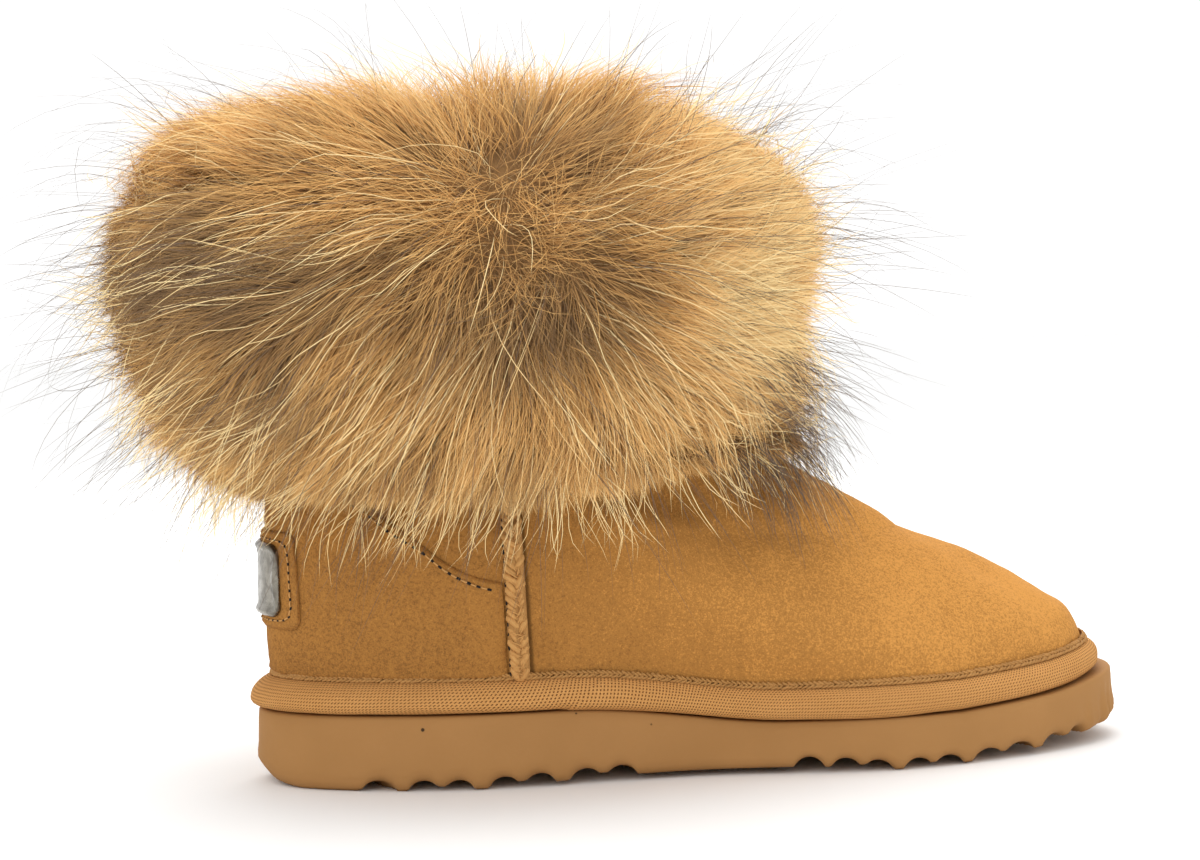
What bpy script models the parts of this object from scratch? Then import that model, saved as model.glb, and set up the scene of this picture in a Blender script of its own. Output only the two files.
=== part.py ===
"""Mukluk boot for the right foot: a short suede boot with a deep fur cuff on a ribbed sole.

Metres. +X runs from heel to toe, +Y to the inner side of the foot and +Z up. The origin is
on the floor, under the middle of the heel's flat. A turn of 0 is the middle of the heel and a
turn of pi is the toe, and between them the turn passes the outer side of the foot.
"""

import math

import bmesh
import bpy
import numpy as np

# Sole
SOLE_LENGTH = 0.268
SOLE_HEEL_WIDTH = 0.069
SOLE_WAIST_WIDTH = 0.073
SOLE_BALL_WIDTH = 0.096
HEEL_STACK = 0.0219  # height of the sole under the heel
BALL_STACK = 0.0156  # height of the sole under the ball
TOE_SPRING = 0.0065
ARCH_LIFT = 0.0018
HEEL_ROUND = 0.0045  # how far the sole's rear edge curves up off the floor
HEEL_REACH = 0.0195  # from the sole's rear edge to the origin

# Tread: rounded grooves in pairs, with a lower lug inside each pair
GROOVE_RADIUS = 0.0052
GROOVE_DEPTH = 0.003
INNER_LUG_CUT = 0.0012
GROOVE_SWING = 0.0022
GROOVE_WAVE = 0.032
GROOVE_RUNOUT = 0.15  # share of its depth by which a groove's edges run on below the sole
GROOVE_POINTS = 5  # round each groove
STATIONS_PER_WAVE = 4
CUTTER_REACH = 0.6  # share of the ball's width that a cutter spans on each side
FIRST_PAIR = 0.74  # share of a pitch from a notch to the middle of its first pair
PAIR_SPREAD = 0.44  # share of a pitch between the two grooves of a pair
HEEL_PITCH = 0.0241
TOE_PITCH = 0.022
# Name, first notch and last place as shares of the length, and pitch
TREAD_REGIONS = (("heel", 0.108, 0.40, HEEL_PITCH), ("toe", 0.589, 0.96, TOE_PITCH))

# Upper
HEEL_LEDGE = 0.0065  # from the sole's edge in to the upper, at the heel, toe and sides
TOE_LEDGE = 0.0125
SIDE_LEDGE = 0.005
UPPER_WALL = 0.0024
HEEL_BULGE = 0.002  # how far the heel cup stands out behind its own lower edge
INSTEP_DEPTH = 0.060
SHAFT_HEIGHT = 0.1496  # from the top of the sole to the collar
COLLAR_DEPTH = 0.120
COLLAR_WIDTH = 0.098

# Pieces on the upper
PIECE_GAP = 0.0003
INSOLE_THICKNESS = 0.0045
BAND_HEIGHT = 0.0093
BAND_THICKNESS = 0.0066
BAND_HEEL_SWELL = 0.3  # share by which the band is thicker round the back of the heel
COUNTER_THICKNESS = 0.0013
COUNTER_HEIGHT = 0.070  # of its top edge above the sole, at the middle of the heel
COUNTER_SIDE_HEIGHT = 0.038  # and where it ends at the side seam
SEAM_WIDTH = 0.006
SEAM_RAISE = 0.002
SEAM_EDGE = 0.2  # share of the raise at the seam's two edges
SEAM_FOOT = 0.0722  # from the sole's rear edge to the side seam, at its lower end
SEAM_TOP = 0.0662  # and at its upper end
PATCH_WIDTH = 0.039
PATCH_HEIGHT = 0.0285
PATCH_THICKNESS = 0.001
PATCH_LIFT = 0.0387  # from the top of the sole to the middle of the patch
PLATE_WIDTH = 0.027
PLATE_HEIGHT = 0.0215
PLATE_THICKNESS = 0.001
CORNER_RADIUS = 0.0035

# Fur cuff
FUR_REACH = 0.048  # how far it stands out from the collar
FUR_DROP = 0.088  # how far it hangs below the collar
FUR_CREST = 0.031  # how far it stands up above the collar
FUR_CLEARANCE = 0.0055  # of the hanging skirt from the upper
LOCK_LENGTH = 0.014
LOCK_WEIGHT = 0.35  # how much a lock's own weight turns it down

UPPER_COLUMNS = 60
SOLE_COLUMNS = 72
FUR_COLUMNS = 84
COUNTER_HALF_COLUMNS = 12
COUNTER_RINGS = 7
SEAM_COLUMNS = 7
SEAM_RINGS = 14
PLAQUE_POINTS = 4  # along a quarter of a plaque's edge, and again round its corner
PLAQUE_RINGS = 5
HEEL_SPAN = 1.2  # the turn up to which distances round the heel are measured
ARC_POINTS = 81
COUNTER_START_RISE = 0.1  # where the search for the counter's ends starts
HEEL_EDGE = -HEEL_REACH
SOLE_EXPONENTS = (2.2, 2.4)
SHAFT_EXPONENT = 2.05
WIDTH_STATIONS = (0.15, 0.45, 0.72)

# Shares of the length against shares of the ball's width: the foot's curve to the inner side
CENTRE_LINE = ((0, 0.0), (0.45, -0.031), (0.72, 0.005), (1, 0.073))

# Rows from the lower edge to the collar. back and front are heights, as shares of the shaft's
# height and of the instep's depth. reach is a share of the length. bulge is a share of the
# heel's. heel, waist and ball are shares of the half widths there. shaft tells how far a row
# takes the collar's sizes in place of the foot's, and follow how far it takes the sole's line.
UPPER_ROWS = {
    "back": (0, 0.06, 0.134, 0.214, 0.294, 0.374, 0.455, 0.548, 0.655, 0.769, 0.889, 1),
    "front": (0, 0.15, 0.3, 0.433, 0.617, 0.783, 0.715, 0.676, 0.652, 0.713, 0.867, 1),
    "reach": (1, 1.018, 1.006, 0.966, 0.884, 0.782, 0.795, 0.83, 0.952, 1.075, 1.025, 1),
    "bulge": (0, 0.62, 1, 1, 0.88, 0.75, 0.62, 0.5, 0.38, 0.38, 0.38, 0.38),
    "heel": (1, 1.068, 1.1, 1.12, 1.12, 1.12, 0.96, 0.892, 0.82, 0.786, 0.806, 0.816),
    "waist": (1, 1.08, 1.143, 1.16, 1.175, 1.19, 1.06, 0.994, 0.945, 0.94, 0.98, 1),
    "ball": (1, 1.058, 1.047, 0.942, 0.767, 0.628, 0.607, 0.652, 0.732, 0.816, 0.878, 0.918),
    "shaft": (0, 0, 0, 0, 0, 0, 0.25, 0.5, 0.8, 1, 1, 1),
    "follow": (1, 1, 0.8, 0.6, 0.4, 0.2, 0, 0, 0, 0, 0, 0),
}
TOP_LEVEL = 11
SEAM_END_LEVEL = 7.4
UPPER_LEVELS = (0, 0.5, 1, 1.6, 2.3, 3, 3.7, 4.4, 5.1, 5.8, 6.6, 7.4, 8.2, 9, 10, TOP_LEVEL)

# Sole rows from the top edge to the bottom: share of the height, and out from the outline
SOLE_ROWS = ((1, -0.0006), (0.97, 0), (0.5, 0.0003), (0.2, 0.0008), (0.06, 0), (0, -0.0035))

# Band rows: share of the band's height, and share of its thickness
BAND_ROWS = ((1, 0.17), (0.85, 0.5), (0.55, 0.86), (0.25, 1), (0.04, 0.7))
BAND_INNER_ROWS = (0.04, 0.5, 0.95)

# The counter's top edge, from the middle of the heel to the side seam: share of its length,
# and share of the fall from its middle height to its side height that is still to come
COUNTER_EDGE = ((0, 1), (0.45, 0.92), (0.75, 0.44), (0.84, 0.22), (0.92, 0.08), (1, 0))

# Fur rows round its section, from the lower edge of its seat, out and up to the collar.
# out is a share of the reach, height of the drop below the collar or of the crest above it,
# and room is how many clearances a row keeps from the upper.
FUR_ROWS = (
    ("skirt_inside", 0.0, -0.72, 1.0),
    ("skirt_hem_inside", 0.05, -0.93, 1.2),
    ("hem", 0.22, -1.0, 1.8),
    ("under", 0.42, -0.91, 2.8),
    ("low_belly_inside", 0.69, -0.76, 4.0),
    ("low_belly", 0.9, -0.53, 5.0),
    ("belly", 1.0, -0.24, 5.0),
    ("shoulder_low", 0.99, 0.05, 5.0),
    ("shoulder", 0.89, 0.4, 5.0),
    ("crown_outside", 0.7, 0.73, 4.0),
    ("crown", 0.47, 0.94, 3.0),
    ("crest", 0.25, 1.0, 1.0),
    ("crest_inside", 0.08, 0.85, 0.0),
    ("lip", -0.02, 0.45, 0.0),
)
FUR_SEAT_LEVELS = (8.2, 9, 10, 11)  # the upper's own levels that the fur is sewn round
FUR_FRONT_LIFT = 0.14  # share of the drop by which the hem is shorter over the instep
FUR_BACK_LIFT = 0.05
FUR_CREST_DIP = 0.24  # share of the crest by which it is lower at the heel and the instep


def through(points, at):
    """A cubic curve through (place, value) points that never overshoots them, read at `at`."""
    places, values = np.array(points, float).T
    steps = np.diff(places)
    rises = np.diff(values) / steps
    slopes = np.concatenate(([rises[0]], np.zeros(len(rises) - 1), [rises[-1]]))
    for i in range(1, len(rises)):
        before, after = rises[i - 1], rises[i]
        if before * after > 0:
            first = 2 * steps[i] + steps[i - 1]
            second = steps[i] + 2 * steps[i - 1]
            slopes[i] = (first + second) / (first / before + second / after)
    at = np.clip(at, places[0], places[-1])
    i = np.clip(np.searchsorted(places, at, side="right") - 1, 0, len(steps) - 1)
    t = (at - places[i]) / steps[i]
    return (
        values[i] * (1 + 2 * t) * (1 - t) ** 2
        + values[i + 1] * t**2 * (3 - 2 * t)
        + steps[i] * t * (1 - t) * (slopes[i] * (1 - t) - slopes[i + 1] * t)
    )


def mix(first, second, share):
    return first + (second - first) * share


def end_round(share, back, front):
    """How much of its width a closed outline has at a share of its length, by its exponents."""
    power = np.where(share < 0.5, back, front)
    return (1 - np.abs(2 * share - 1) ** power) ** (1 / power)


def half_width(share, widths, back, front):
    """Half width at a share of the length, from the true half widths at the three stations."""
    full = [w / end_round(s, back, front) for s, w in zip(WIDTH_STATIONS, widths)]
    heel, ball = WIDTH_STATIONS[0], WIDTH_STATIONS[2]
    first = np.clip((share - heel) / (WIDTH_STATIONS[1] - heel), 0, 1)
    second = np.clip((share - WIDTH_STATIONS[1]) / (ball - WIDTH_STATIONS[1]), 0, 1)
    soft_first = first**2 * (3 - 2 * first)
    soft_second = second**2 * (3 - 2 * second)
    body = full[0] + (full[1] - full[0]) * soft_first + (full[2] - full[1]) * soft_second
    return body * end_round(share, back, front)


def centre(share):
    return SOLE_BALL_WIDTH * through(CENTRE_LINE, share)


def seat(x):
    """Height of the sole's top at x."""
    share = (np.asarray(x) - HEEL_EDGE) / SOLE_LENGTH
    stack = ((0, HEEL_STACK), (0.317, HEEL_STACK), (0.56, BALL_STACK), (1, BALL_STACK))
    return through(stack, share) + toe_lift(share)


def toe_lift(share):
    return TOE_SPRING * through(((0.76, 0), (0.88, 0.32), (1, 1)), share)


def sole_bottom(x):
    """Height of the sole's underside at x, before the tread is cut."""
    share = (np.asarray(x) - HEEL_EDGE) / SOLE_LENGTH
    heel = HEEL_ROUND * through(((0, 1), (0.015, 0.3), (0.035, 0)), share)
    arch = ARCH_LIFT * through(((0.2, 0), (0.4, 1), (0.58, 1), (0.67, 0)), share)
    return heel + arch + toe_lift(share)


def sole_outline(turn, out=0.0):
    """x and y of the sole's edge, moved out square to it."""

    def edge(turn):
        share = 0.5 - 0.5 * np.cos(turn)
        widths = (SOLE_HEEL_WIDTH / 2, SOLE_WAIST_WIDTH / 2, SOLE_BALL_WIDTH / 2)
        half = half_width(share, widths, *SOLE_EXPONENTS)
        side = -np.sign(np.sin(turn)) * half
        return np.stack((HEEL_EDGE + SOLE_LENGTH * share, centre(share) + side), -1)

    along = edge(turn + 0.001) - edge(turn - 0.001)
    square = np.stack((along[..., 1], -along[..., 0]), -1)
    return edge(turn) + out * square / np.linalg.norm(square, axis=-1, keepdims=True)


def upper_at(turn, rise):
    """A point of the upper's outer face. rise runs from 0 at its lower edge to 1 at the collar."""
    turn, rise = np.broadcast_arrays(np.asarray(turn, float), np.asarray(rise, float))
    levels = np.linspace(0, 1, len(UPPER_ROWS["back"]))
    row = {name: through(list(zip(levels, v)), rise) for name, v in UPPER_ROWS.items()}
    shaft = row["shaft"]
    share = 0.5 - 0.5 * np.cos(turn)
    foot_length = SOLE_LENGTH - HEEL_LEDGE - TOE_LEDGE
    length = row["reach"] * mix(foot_length, COLLAR_DEPTH, shaft)
    x = HEEL_EDGE + HEEL_LEDGE - HEEL_BULGE * row["bulge"] + length * share
    feather = [w / 2 - SIDE_LEDGE for w in (SOLE_HEEL_WIDTH, SOLE_WAIST_WIDTH, SOLE_BALL_WIDTH)]
    widths = [
        row[name] * mix(foot, COLLAR_WIDTH / 2, shaft)
        for name, foot in zip(("heel", "waist", "ball"), feather)
    ]
    exponents = [mix(e, SHAFT_EXPONENT, shaft) for e in SOLE_EXPONENTS]
    half = half_width(share, widths, *exponents)
    y = centre(share) * (1 - shaft) - np.sign(np.sin(turn)) * half
    back_height = row["back"] * SHAFT_HEIGHT
    front_height = row["front"] * mix(INSTEP_DEPTH, SHAFT_HEIGHT, shaft)
    base = mix(HEEL_STACK, seat(x), row["follow"])
    lean = share**2 * (3 - 2 * share)
    z = base + PIECE_GAP + mix(back_height, front_height, lean)
    return np.stack((x, y, z), -1)


def upper_out(turn, rise, out, level=False):
    """A point off the upper's outer face by `out`, square to it, or level and outward."""
    step = 0.002
    along = upper_at(turn + step, rise) - upper_at(turn - step, rise)
    up = upper_at(turn, rise + step) - upper_at(turn, rise - step)
    normal = np.cross(along, up)
    if level:
        normal[..., 2] = 0
    normal /= np.linalg.norm(normal, axis=-1, keepdims=True)
    return upper_at(turn, rise) + np.asarray(out)[..., None] * normal


def rise_at(turn, height, above_seat=False):
    """The rise at which the upper reaches a height over the floor, or over the sole's top."""
    turn, height = np.broadcast_arrays(np.asarray(turn, float), np.asarray(height, float))
    steps = np.linspace(0, 1, 221)
    lines = upper_at(turn[..., None], steps)
    heights = lines[..., 2] - (seat(lines[..., 0]) if above_seat else 0)
    found = np.empty(turn.shape)
    for i in np.ndindex(turn.shape):
        found[i] = np.interp(height[i], heights[i], steps)
    return found


def turn_at_x(x, rise, side=1):
    """The turn at which the upper reaches x, on the outer side (1) or the inner side (-1)."""
    back = upper_at(0.0, rise)[..., 0]
    front = upper_at(math.pi, rise)[..., 0]
    return side * np.arccos(1 - 2 * np.clip((x - back) / (front - back), 0, 1))


def turn_at_arc(distance, height):
    """The turn at a distance round the heel from its middle, at a height over the floor."""
    turns = np.linspace(0, HEEL_SPAN, ARC_POINTS)
    line = upper_at(turns, rise_at(turns, height))
    arc = np.concatenate(([0], np.cumsum(np.linalg.norm(np.diff(line, axis=0), axis=1))))
    return np.sign(distance) * np.interp(np.abs(distance), arc, turns)


def finish(name, colour, roughness, metallic=0.0):
    material = bpy.data.materials.new(name)
    material.use_nodes = True
    shader = material.node_tree.nodes["Principled BSDF"]
    shader.inputs["Base Color"].default_value = (*colour, 1)
    shader.inputs["Roughness"].default_value = roughness
    shader.inputs["Metallic"].default_value = metallic
    material.diffuse_color = (*colour, 1)
    return material


def ladder(ring, poles):
    """Faces that close a ring by rungs from its first half to its second, from a pole or not."""
    half = len(ring) // 2
    near = ring[: half + 1] if poles else ring[:half]
    far = [ring[0]] + ring[: half - 1 : -1] if poles else ring[: half - 1 : -1]
    faces = []
    for a, b, c, d in zip(near, near[1:], far[1:], far):
        corners = list(dict.fromkeys((a, b, c, d)))
        faces.append(corners)
    return faces


def loft(name, rings, collection, material=None, joined=False, poles=False, sharp=40):
    """A closed body through rings of points: joined last to first, or closed at both ends."""
    rings = np.asarray(rings, float)
    count = rings.shape[1]
    mesh = bpy.data.meshes.new(name)
    body = bmesh.new()
    rows = [[body.verts.new(point) for point in ring] for ring in rings]
    pairs = list(zip(rows, rows[1:])) + ([(rows[-1], rows[0])] if joined else [])
    for lower, upper in pairs:
        for i in range(count):
            j = (i + 1) % count
            body.faces.new((lower[i], lower[j], upper[j], upper[i]))
    if not joined:
        for ring in (rows[0], rows[-1]):
            for corners in ladder(ring, poles):
                body.faces.new(corners)
    bmesh.ops.recalc_face_normals(body, faces=body.faces[:])
    body.to_mesh(mesh)
    body.free()
    mesh.shade_smooth()
    mesh.set_sharp_from_angle(angle=math.radians(sharp))
    item = bpy.data.objects.new(name, mesh)
    collection.objects.link(item)
    if material:
        mesh.materials.append(material)
    return item


def slab(name, turns, rises, inner, outer, collection, material):
    """A closed sheet over part of the upper: grids of turns and rises, and its two heights."""
    outside = upper_out(turns, rises, outer)
    inside = upper_out(turns, rises, inner)
    rings = np.concatenate((outside, inside[:, ::-1]), axis=1)
    return loft(name, rings, collection, material)


def upper_turns(columns=UPPER_COLUMNS):
    return np.arange(columns) * 2 * math.pi / columns


def scallop(middle, first_level, last_level):
    """Points over one round groove, from one height to another on its two sides."""
    sunk = GROOVE_RADIUS - GROOVE_DEPTH
    first = -math.acos((first_level + sunk) / GROOVE_RADIUS)
    last = math.acos((last_level + sunk) / GROOVE_RADIUS)
    angles = np.linspace(first, last, GROOVE_POINTS)
    return [
        (middle + GROOVE_RADIUS * math.sin(a), GROOVE_RADIUS * math.cos(a) - sunk)
        for a in angles
    ]


def groove(name, middle, spread, collection):
    """A cutter across the sole that swings to heel and toe: one round, or two with a low lug."""
    under = -GROOVE_RUNOUT * GROOVE_DEPTH
    if spread:
        profile = scallop(-spread / 2, under, INNER_LUG_CUT)
        profile += scallop(spread / 2, INNER_LUG_CUT, under)
    else:
        profile = scallop(0, under, under)
    depth = -2 * GROOVE_DEPTH
    profile = [(profile[0][0], depth)] + profile + [(profile[-1][0], depth)]
    half = CUTTER_REACH * SOLE_BALL_WIDTH
    waves = 2 * half / GROOVE_WAVE
    stations = np.linspace(-half, half, round(STATIONS_PER_WAVE * waves) + 1)
    rings = []
    for y in stations:
        shift = GROOVE_SWING * math.cos(2 * math.pi * y / GROOVE_WAVE)
        line = [(middle + x + shift, z) for x, z in profile]
        rings.append([(x, y, z + float(sole_bottom(x))) for x, z in line])
    cutter = loft(name, rings, collection)
    cutter.hide_render = True
    cutter.display_type = "WIRE"
    return cutter


def tread(collection):
    """Cutters of the whole tread, heel to toe."""
    cutters = []
    for region, start, end, pitch in TREAD_REGIONS:
        notch = HEEL_EDGE + start * SOLE_LENGTH
        cutters.append(groove(f"{region}_notch", notch, 0, collection))
        count = int((end - start) * SOLE_LENGTH // pitch)
        for i in range(count):
            middle = notch + (i + FIRST_PAIR) * pitch
            spread = PAIR_SPREAD * pitch
            cutters.append(groove(f"{region}_groove_{i + 1}", middle, spread, collection))
    return cutters


def outsole(parts, cutters, material):
    turns = upper_turns(SOLE_COLUMNS)
    rings = []
    for share, out in SOLE_ROWS:
        edge = sole_outline(turns, out)
        top, bottom = seat(edge[:, 0]), sole_bottom(edge[:, 0])
        rings.append(np.column_stack((edge, mix(bottom, top, share))))
    sole = loft("outsole", rings, parts, material, poles=True)
    for cutter in tread(cutters):
        cut = sole.modifiers.new(cutter.name, "BOOLEAN")
        cut.object = cutter
        cut.operation = "DIFFERENCE"
    return sole


def upper(parts, material):
    turns = upper_turns()
    levels = np.array(UPPER_LEVELS) / TOP_LEVEL
    outside = []
    inside = []
    for rise in levels:
        at_rim = rise in (0, 1)
        outside.append(upper_at(turns, rise))
        inside.append(upper_out(turns, rise, np.full(len(turns), -UPPER_WALL), level=at_rim))
    inside[0][:, 2] = seat(inside[0][:, 0]) + PIECE_GAP
    return loft("upper", outside + inside[::-1], parts, material, joined=True)


def insole(parts, material):
    turns = upper_turns()
    out = np.full(len(turns), -UPPER_WALL - 2 * PIECE_GAP)
    edge = upper_out(turns, 0.0, out, level=True)
    rings = []
    for up in (PIECE_GAP, INSOLE_THICKNESS):
        ring = edge.copy()
        ring[:, 2] = seat(ring[:, 0]) + up
        rings.append(ring)
    return loft("insole", rings, parts, material, poles=True)


def binding(parts, material):
    """The rolled tape round the upper's lower edge."""
    turns = upper_turns()
    rings = []
    swell = BAND_THICKNESS * (1 + BAND_HEEL_SWELL * np.maximum(np.cos(turns), 0) ** 4)
    outer = [(up, out * swell) for up, out in BAND_ROWS]
    inner = [(up, np.full(len(turns), PIECE_GAP)) for up in BAND_INNER_ROWS]
    for up, out in outer + inner:
        rise = rise_at(turns, up * BAND_HEIGHT + PIECE_GAP, above_seat=True)
        ring = upper_out(turns, rise, out, level=True)
        ring[:, 2] = seat(ring[:, 0]) + PIECE_GAP + up * BAND_HEIGHT
        rings.append(ring)
    return loft("binding", rings, parts, material, joined=True, sharp=60)


def seam_x(rise):
    return HEEL_EDGE + mix(SEAM_FOOT, SEAM_TOP, rise)


def counter(parts, material):
    """The overlay round the heel, between the two side seams."""
    shares = np.linspace(-1, 1, 2 * COUNTER_HALF_COLUMNS + 1)
    edge_gap = SEAM_WIDTH / 2 + 2 * PIECE_GAP
    fall = COUNTER_HEIGHT - COUNTER_SIDE_HEIGHT
    top = HEEL_STACK + COUNTER_SIDE_HEIGHT + fall * through(COUNTER_EDGE, np.abs(shares))
    turns = np.empty((COUNTER_RINGS, len(shares)))
    rises = np.empty_like(turns)
    foot = BAND_HEIGHT + 3 * PIECE_GAP
    for j, up in enumerate(np.linspace(0, 1, COUNTER_RINGS)):
        turn = shares * turn_at_x(seam_x(0.0) - edge_gap, COUNTER_START_RISE)
        for _ in range(3):
            low = rise_at(turn, foot, above_seat=True)
            rise = mix(low, rise_at(turn, top), up)
            turn = shares * turn_at_x(seam_x(rise) - edge_gap, rise)
        turns[j], rises[j] = turn, rise
    inner = np.full(turns.shape, PIECE_GAP)
    return slab(
        "heel_counter", turns, rises, inner, inner + COUNTER_THICKNESS, parts, material
    )


def side_seam(name, side, parts, material):
    """A raised half-round seam from the binding up under the fur."""
    across = np.linspace(-1, 1, SEAM_COLUMNS)
    raised = PIECE_GAP + SEAM_RAISE * np.maximum(np.sqrt(1 - across**2), SEAM_EDGE)
    middle = math.pi / 3
    low = rise_at(middle, BAND_HEIGHT + 3 * PIECE_GAP, above_seat=True)
    rises = np.linspace(low, SEAM_END_LEVEL / TOP_LEVEL, SEAM_RINGS)
    rises = np.repeat(rises[:, None], len(across), axis=1)
    places = seam_x(rises) + across * SEAM_WIDTH / 2
    turns = turn_at_x(places, rises, side)
    inner = np.full(turns.shape, PIECE_GAP)
    return slab(name, turns, rises, inner, np.broadcast_to(raised, turns.shape), parts, material)


def heel_plaque(name, width, height, base, thickness, parts, material):
    """A sheet with round corners bent round the middle of the heel."""
    middle = HEEL_STACK + PATCH_LIFT
    corner = np.linspace(0, math.pi / 2, PLAQUE_POINTS)
    ends = width / 2 - CORNER_RADIUS * (1 - np.sin(corner))
    flat = np.linspace(0, width / 2 - CORNER_RADIUS, PLAQUE_POINTS)[:-1]
    half = np.concatenate((flat, ends))
    distance = np.concatenate((-half[:0:-1], half))
    beyond = np.clip(np.abs(distance) - (width / 2 - CORNER_RADIUS), 0, CORNER_RADIUS)
    drop = CORNER_RADIUS - np.sqrt(np.maximum(CORNER_RADIUS**2 - beyond**2, 0))
    turn = turn_at_arc(distance, middle)
    turns, rises = [], []
    for up in np.linspace(-1, 1, PLAQUE_RINGS):
        turns.append(turn)
        rises.append(rise_at(turn, middle + up * (height / 2 - drop)))
    turns, rises = np.array(turns), np.array(rises)
    inner = np.full(turns.shape, base)
    return slab(name, turns, rises, inner, inner + thickness, parts, material)


def wander(i, j):
    """A number from 0 to 1 that looks random and is the same for the same lock."""
    return (math.sin(12.9898 * i + 78.233 * j) * 43758.5453) % 1.0


def kept_clear(point, turn, room):
    """The point, moved level and outward until it is `room` off the upper."""
    collar = upper_at(turn, 1.0)
    if point[2] >= collar[2]:
        return point
    outward = upper_out(turn, 1.0, 1.0, level=True) - collar
    wall = upper_at(turn, rise_at(turn, point[2]))
    return point + outward * max(0.0, room - (point - wall) @ outward)


def fur_section(turn):
    """Points round the fur's section at a turn."""
    collar = upper_at(turn, 1.0)
    outward = upper_out(turn, 1.0, 1.0, level=True) - collar
    front = (0.5 - 0.5 * math.cos(turn)) ** 3
    back = (0.5 + 0.5 * math.cos(turn)) ** 2
    drop = FUR_DROP * (1 - FUR_FRONT_LIFT * front - FUR_BACK_LIFT * back)
    crest = FUR_CREST * (1 - FUR_CREST_DIP * math.cos(turn) ** 2)
    points = []
    for _, out, up, room in FUR_ROWS:
        point = collar + out * FUR_REACH * outward
        point[2] += up * (drop if up < 0 else crest)
        points.append(kept_clear(point, turn, room * FUR_CLEARANCE))
    for level in FUR_SEAT_LEVELS[::-1]:
        points.append(upper_out(turn, level / TOP_LEVEL, PIECE_GAP, level=level == TOP_LEVEL))
    return np.array(points)


def fur_cuff(parts, material):
    """A deep ring of fur round the collar, with its locks drawn out of its surface."""
    turns = upper_turns(FUR_COLUMNS)
    rings = np.array([fur_section(turn) for turn in turns])
    body = rings.copy()
    grown = range(2, len(FUR_ROWS) - 3)
    for i in range(FUR_COLUMNS):
        for j in grown:
            if (i + 2 * j) % 3 or (j % 2 == 0 and (i + j) % 2):
                continue
            before, after = rings[i][j - 1], rings[i][j + 1]
            around = rings[(i + 1) % FUR_COLUMNS][j] - rings[i - 1][j]
            square = np.cross(around, after - before)
            square /= np.linalg.norm(square)
            square[2] -= LOCK_WEIGHT
            square /= np.linalg.norm(square)
            tip = body[i][j] + square * LOCK_LENGTH * (0.7 + 0.5 * wander(i, j))
            body[i][j] = kept_clear(tip, turns[i], FUR_CLEARANCE)
    return loft("fur_cuff", body.transpose(1, 0, 2), parts, material, joined=True, sharp=75)


def build():
    for item in list(bpy.data.objects):
        bpy.data.objects.remove(item, do_unlink=True)
    parts = bpy.data.collections.new("mukluk_boot")
    cutters = bpy.data.collections.new("mukluk_boot_cutters")
    for collection in (parts, cutters):
        bpy.context.scene.collection.children.link(collection)

    suede = finish("suede", (0.33, 0.19, 0.08), 0.95)
    tape = finish("tape", (0.34, 0.2, 0.09), 0.9)
    rubber = finish("rubber", (0.27, 0.17, 0.1), 0.75)
    fleece = finish("fleece", (0.6, 0.5, 0.36), 1.0)
    fur = finish("fur", (0.5, 0.36, 0.2), 1.0)
    metal = finish("metal", (0.55, 0.54, 0.52), 0.4, 1.0)

    counter_face = PIECE_GAP + COUNTER_THICKNESS
    patch_face = counter_face + PIECE_GAP + PATCH_THICKNESS
    pieces = [
        outsole(parts, cutters, rubber),
        upper(parts, suede),
        insole(parts, fleece),
        binding(parts, tape),
        counter(parts, suede),
        side_seam("side_seam_outer", 1, parts, suede),
        side_seam("side_seam_inner", -1, parts, suede),
        heel_plaque(
            "heel_patch", PATCH_WIDTH, PATCH_HEIGHT, counter_face + PIECE_GAP,
            PATCH_THICKNESS, parts, suede,
        ),
        heel_plaque(
            "heel_plate", PLATE_WIDTH, PLATE_HEIGHT, patch_face + PIECE_GAP,
            PLATE_THICKNESS, parts, metal,
        ),
        fur_cuff(parts, fur),
    ]
    boot = bpy.data.objects.new("mukluk_boot", None)
    parts.objects.link(boot)
    for piece in pieces:
        piece.parent = boot


build()
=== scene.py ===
import math

import bmesh
import bpy
import numpy as np
from bpy.props import FloatProperty, FloatVectorProperty, IntProperty, PointerProperty
from bpy.types import Operator, Panel, PropertyGroup
from mathutils import Matrix, Vector
from mathutils.bvhtree import BVHTree
from mathutils.kdtree import KDTree


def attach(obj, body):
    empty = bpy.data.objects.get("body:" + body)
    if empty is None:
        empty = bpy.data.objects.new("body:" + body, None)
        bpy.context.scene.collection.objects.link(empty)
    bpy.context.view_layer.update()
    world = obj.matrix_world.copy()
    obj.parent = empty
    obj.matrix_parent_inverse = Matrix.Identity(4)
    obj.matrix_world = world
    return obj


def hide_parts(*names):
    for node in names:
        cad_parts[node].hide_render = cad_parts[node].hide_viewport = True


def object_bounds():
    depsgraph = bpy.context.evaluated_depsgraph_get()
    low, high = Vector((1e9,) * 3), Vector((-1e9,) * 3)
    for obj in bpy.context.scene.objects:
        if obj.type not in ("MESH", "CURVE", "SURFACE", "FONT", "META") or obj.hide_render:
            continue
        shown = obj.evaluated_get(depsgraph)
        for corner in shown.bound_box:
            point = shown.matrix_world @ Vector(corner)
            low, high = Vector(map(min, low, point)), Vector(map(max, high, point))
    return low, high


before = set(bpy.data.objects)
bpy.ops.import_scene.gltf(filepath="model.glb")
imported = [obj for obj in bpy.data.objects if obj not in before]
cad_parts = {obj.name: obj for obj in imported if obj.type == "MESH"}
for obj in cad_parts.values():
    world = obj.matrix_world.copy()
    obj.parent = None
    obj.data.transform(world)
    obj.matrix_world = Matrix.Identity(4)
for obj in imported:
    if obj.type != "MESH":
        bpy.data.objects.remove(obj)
CAD_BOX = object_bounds()

bl_info = {
    "name": "Fur-cuffed suede boot",
    "version": (1, 0, 0),
    "blender": (4, 5, 0),
    "location": "View3D > Sidebar > Boot",
    "description": "Dresses the solids of a suede boot with its hide, tape, stitches and fur",
    "category": "Object",
}

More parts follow.
